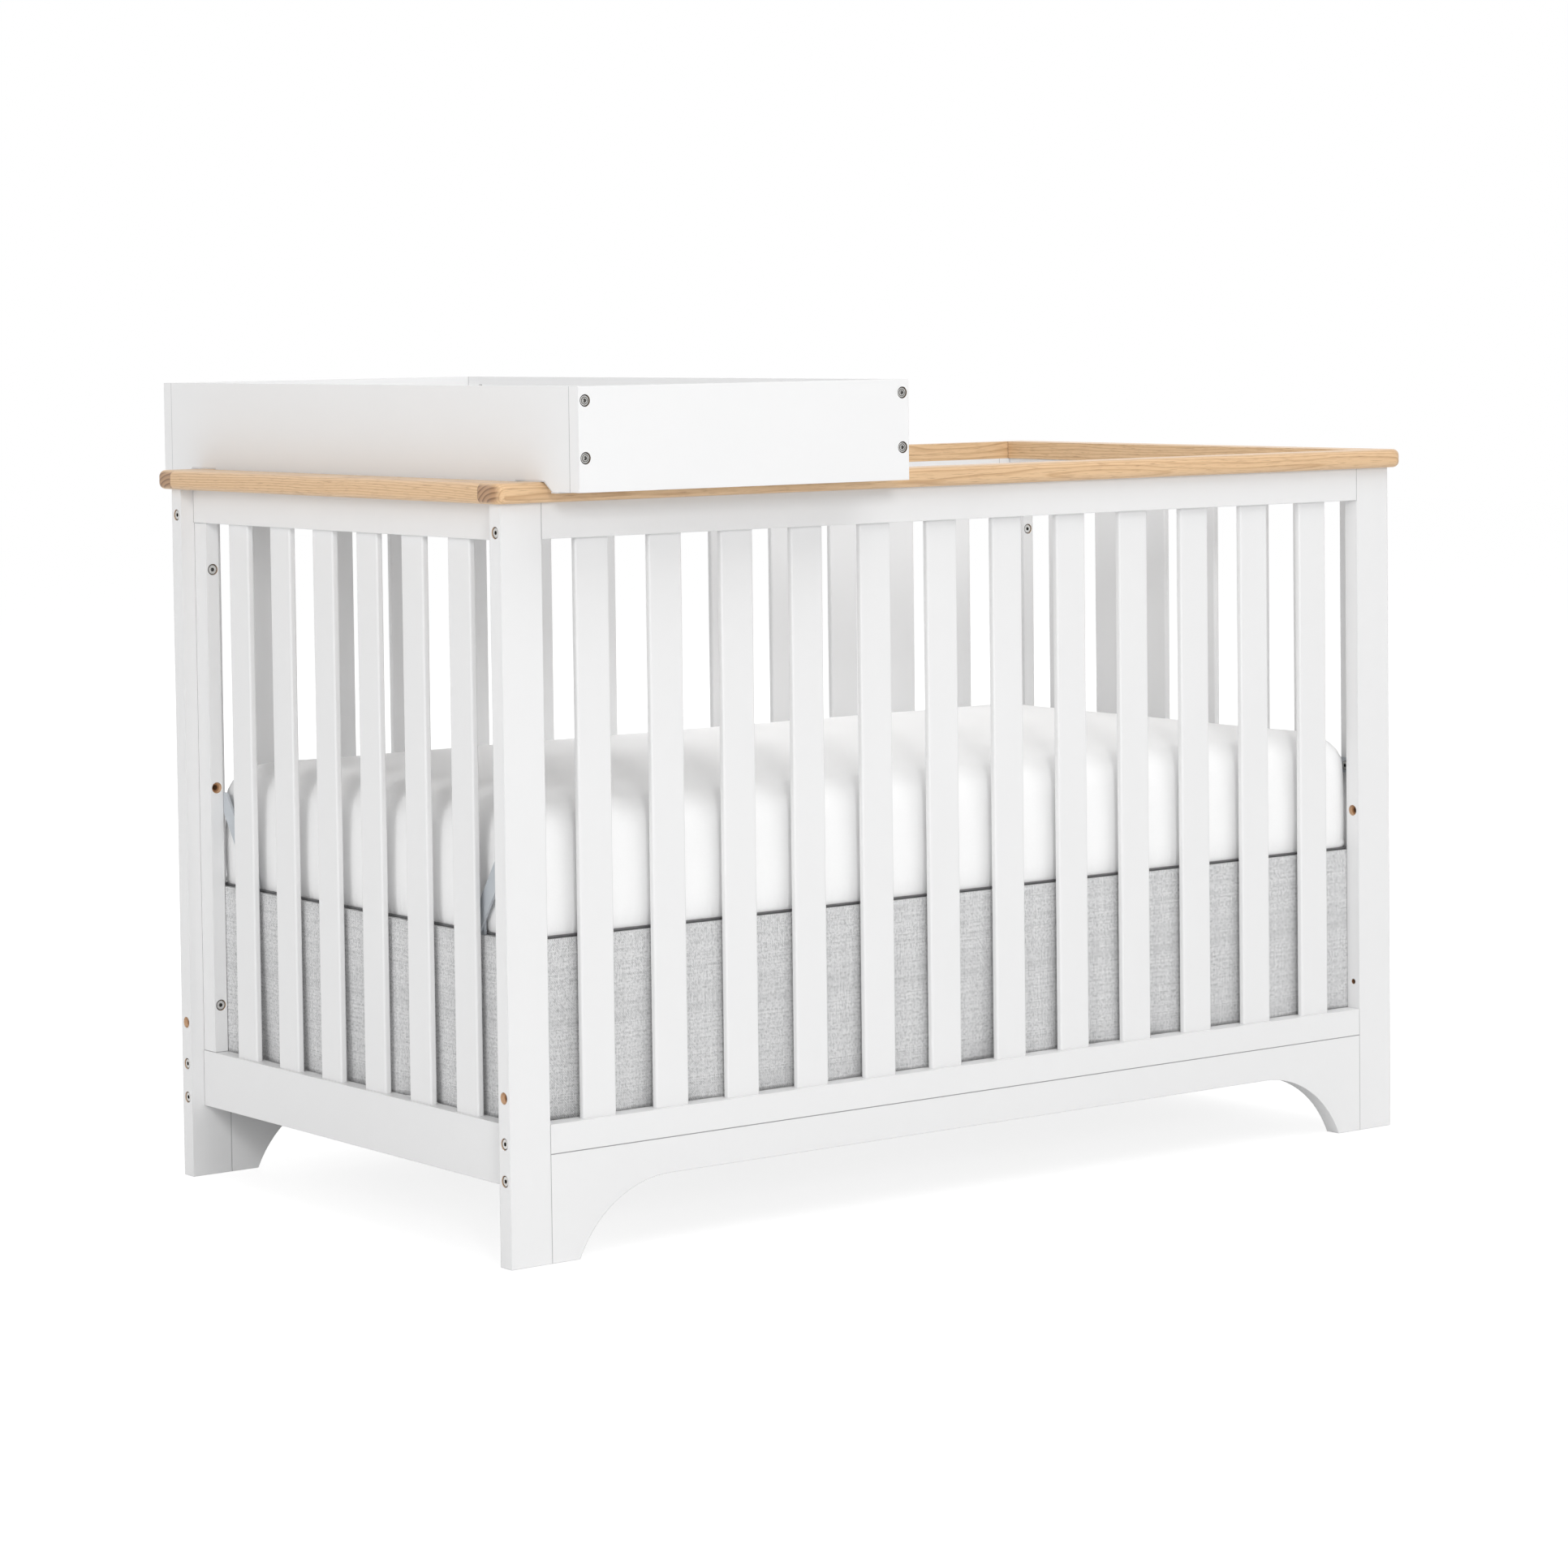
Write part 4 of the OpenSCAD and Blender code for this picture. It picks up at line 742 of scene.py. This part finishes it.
# %% Draw in the seam
CORNER, PIPING_RISE, SEAM_BACK, SEAM_ROUND = 0.012, 0.0032, 0.0027, 0.009
SIDE_INSET = 0.0014
half = (high - low) / 2
middle = (high + low) / 2


def outline(point):
    """Outward direction and inset of a point, against the mattress's plan."""
    x, y = point.x - middle.x, point.y - middle.y
    past = Vector((abs(x) - half.x + CORNER, abs(y) - half.y + CORNER))
    if past.x > 0 and past.y > 0:
        out, inset = past.normalized(), CORNER - past.length
    else:
        out = Vector((1, 0)) if past.x > past.y else Vector((0, 1))
        inset = CORNER - max(past)
    return Vector((math.copysign(out.x, x), math.copysign(out.y, y), 0)), inset


bpy.ops.object.mode_set(mode="EDIT")
for rise in (0.0015, PIPING_RISE, 0.0048, 0.0068, 0.0092, 0.0122):
    bpy.ops.mesh.select_all(action="SELECT")
    bpy.ops.mesh.bisect(plane_co=(0, 0, low.z + rise), plane_no=(0, 0, 1))
bpy.ops.object.mode_set(mode="OBJECT")
for point in mattress.data.vertices:
    rise = point.co.z - low.z
    if rise > PIPING_RISE + SEAM_ROUND:
        continue
    out, inset = outline(point.co)
    if inset > CORNER:
        point.co.z = low.z
        continue
    share = max(0, rise - PIPING_RISE) / SEAM_ROUND
    ease = math.sin(share * math.pi / 2)
    wanted = SEAM_BACK + (min(inset, SIDE_INSET) - SEAM_BACK) * ease
    point.co += out * (inset - wanted) * (1 - share ** 4)
bpy.ops.object.shade_smooth()
mattress.vertex_groups.clear()
mattress.data.materials.clear()
mattress.data.materials.append(cover_knit)
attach(mattress, "mattress")
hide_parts("mattress")
bottom = min(point.co.z for point in mattress.data.vertices)
print("mattress", len(mattress.data.polygons), "faces, bottom at", round(bottom, 4))

# %% [markdown]
# ## The skirt's hanging panels
# A linen panel is cut a little wider at its hem than at its top, so it hangs in
# soft, uneven folds that start at the deck and deepen downwards. Each is one
# grid whose rows are the panel's drop and whose points are moved by the folds'
# formula. A solidify gives it its thickness, doubled along the turned-up hem by
# a vertex group. Its UV map is written in metres for the weave.

# %% Panels
CLOTH, FOLD_DEPTH, COLUMN, ROWS = 0.0012, 0.0085, 0.007, 28
skirt_low, skirt_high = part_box("skirt_platform")
DROP = skirt_high.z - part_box("skirt_front")[0].z - CLOTH


def fold_depth(along, down, folds, depth, phase):
    """How far the cloth stands in from its outer face at a point: along and
    down run from 0 to 1."""
    drift = along + 0.16 / folds * math.sin(7.3 * along + phase)
    drift += 0.09 / folds * math.sin(17.0 * along + 2 * phase)
    wave = (1 - math.cos(2 * math.pi * folds * drift)) / 2
    swing = 0.72 + 0.28 * math.sin(11.0 * along + 1.7 * phase)
    return depth * swing * wave * (0.03 * down + 0.97 * down ** 1.35)


def panel(name, left, right, inward, folds, phase):
    """A hanging sheet from one point to another along the deck's edge."""
    span = right - left
    width = span.length
    columns = round(width / COLUMN)
    sheet = start(bpy.ops.mesh.primitive_grid_add, x_subdivisions=columns, y_subdivisions=ROWS, size=1)
    sheet.name = name
    hem = sheet.vertex_groups.new(name="hem")
    for point in sheet.data.vertices:
        along, down = point.co.x + 0.5, 0.5 - point.co.y
        depth = fold_depth(along, down, folds, FOLD_DEPTH, phase)
        if down * DROP > DROP - HEM:
            hem.add([point.index], 1.0, "REPLACE")
        point.co = left + span * along + inward * depth - Vector((0, 0, down * DROP))
    for loop in sheet.data.uv_layers.active.data:
        loop.uv = (loop.uv[0] * width, loop.uv[1] * DROP)
    area = sum(face.area for face in sheet.data.polygons)
    if sheet.data.polygons[0].normal.dot(inward) >= 0:
        bpy.ops.object.mode_set(mode="EDIT")
        bpy.ops.mesh.select_all(action="SELECT")
        bpy.ops.mesh.flip_normals()
        bpy.ops.object.mode_set(mode="OBJECT")
    apply_modifier(sheet, "SOLIDIFY", thickness=2 * CLOTH, offset=-1, vertex_group="hem",
                   thickness_vertex_group=0.5)
    bpy.ops.object.shade_smooth()
    sheet.vertex_groups.clear()
    sheet.data.materials.append(linen_hemmed)
    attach(sheet, "mattress_support")
    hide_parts(name.replace("_cloth", ""))
    print(name, "flat area", round(area, 4), "m2 over", round(width, 4), "m by", round(DROP, 4))


x0, x1, y0, y1 = skirt_low.x, skirt_high.x, skirt_low.y, skirt_high.y
tuck = 0.0016
hang_z = skirt_high.z - CLOTH
long_cut, end_cut = (1.340, 0.211), (0.712, 0.211)
for side, left, right, inward, folds, phase, flat in (
    ("front", (x0, y0), (x1, y0), (0, 1, 0), 9, 0.6, long_cut),
    ("rear", (x1, y1), (x0, y1), (0, -1, 0), 9, 2.3, long_cut),
    ("left", (x0, y1 - tuck), (x0, y0 + tuck), (1, 0, 0), 5, 4.1, end_cut),
    ("right", (x1, y0 + tuck), (x1, y1 - tuck), (-1, 0, 0), 5, 5.4, end_cut),
):
    panel(f"skirt_{side}_cloth", Vector((*left, hang_z)), Vector((*right, hang_z)), Vector(inward),
          folds, phase)

# %% [markdown]
# ## The skirt's platform
# The four panels are sewn to a sheet that lies on the steel straps under the
# mattress. It dips slightly between the straps, and four slots let the ears of
# the hangers through. The slots are cut by bisecting the grid along their sides
# and deleting the faces inside.

# %% Platform
EAR_Y, EAR_HALF, EAR_X = 0.26025, 0.0105, (0.6582, 0.6622)
STRAPS, STRAP_HALF, SAG = 10, 0.016, 0.0014
platform = start(bpy.ops.mesh.primitive_grid_add, x_subdivisions=90, y_subdivisions=46, size=1,
                 location=((x0 + x1) / 2, (y0 + y1) / 2, skirt_high.z))
platform.name = "skirt_platform_cloth"
platform.scale = (x1 - x0, y1 - y0, 1)
settle(platform)
for loop in platform.data.uv_layers.active.data:
    loop.uv = (loop.uv[0] * (x1 - x0), loop.uv[1] * (y1 - y0))
bpy.ops.object.mode_set(mode="EDIT")
cuts = [((side * x, 0, 0), (1, 0, 0)) for side in (-1, 1) for x in EAR_X]
cuts += [((0, CRIB_Y + side * EAR_Y + edge, 0), (0, 1, 0))
         for side in (-1, 1) for edge in (-EAR_HALF, EAR_HALF)]
for place, normal in cuts:
    bpy.ops.mesh.select_all(action="SELECT")
    bpy.ops.mesh.bisect(plane_co=place, plane_no=normal)
bpy.ops.mesh.select_mode(type="FACE")
bpy.ops.mesh.select_all(action="DESELECT")
bpy.ops.object.mode_set(mode="OBJECT")
for face in platform.data.polygons:
    centre = face.center
    beside_bar = EAR_X[0] < abs(centre.x) < EAR_X[1]
    face.select = beside_bar and abs(abs(centre.y - CRIB_Y) - EAR_Y) < EAR_HALF
bpy.ops.object.mode_set(mode="EDIT")
bpy.ops.mesh.delete(type="FACE")
bpy.ops.object.mode_set(mode="OBJECT")
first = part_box("support_straps")[0].x + STRAP_HALF
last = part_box("support_straps")[1].x - STRAP_HALF
pitch = (last - first) / (STRAPS - 1)


def clamp(value):
    return min(1, max(0, value))


# The sag fades out over every strap and towards the sheet's edges.
for point in platform.data.vertices:
    from_strap = abs((point.co.x - first) / pitch - round((point.co.x - first) / pitch))
    inner = clamp((0.33 - abs(point.co.y - CRIB_Y)) / 0.05) * clamp((0.64 - abs(point.co.x)) / 0.03)
    point.co.z -= SAG * inner * max(0, from_strap - 0.14) / 0.36
apply_modifier(platform, "SOLIDIFY", thickness=CLOTH, offset=-1)
bpy.ops.object.shade_smooth_by_angle(angle=math.radians(40))
platform.data.materials.append(linen_cloth)
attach(platform, "mattress_support")
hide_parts("skirt_platform")
print("platform", len(platform.data.polygons), "faces at", round(platform.data.vertices[0].co.z, 4))
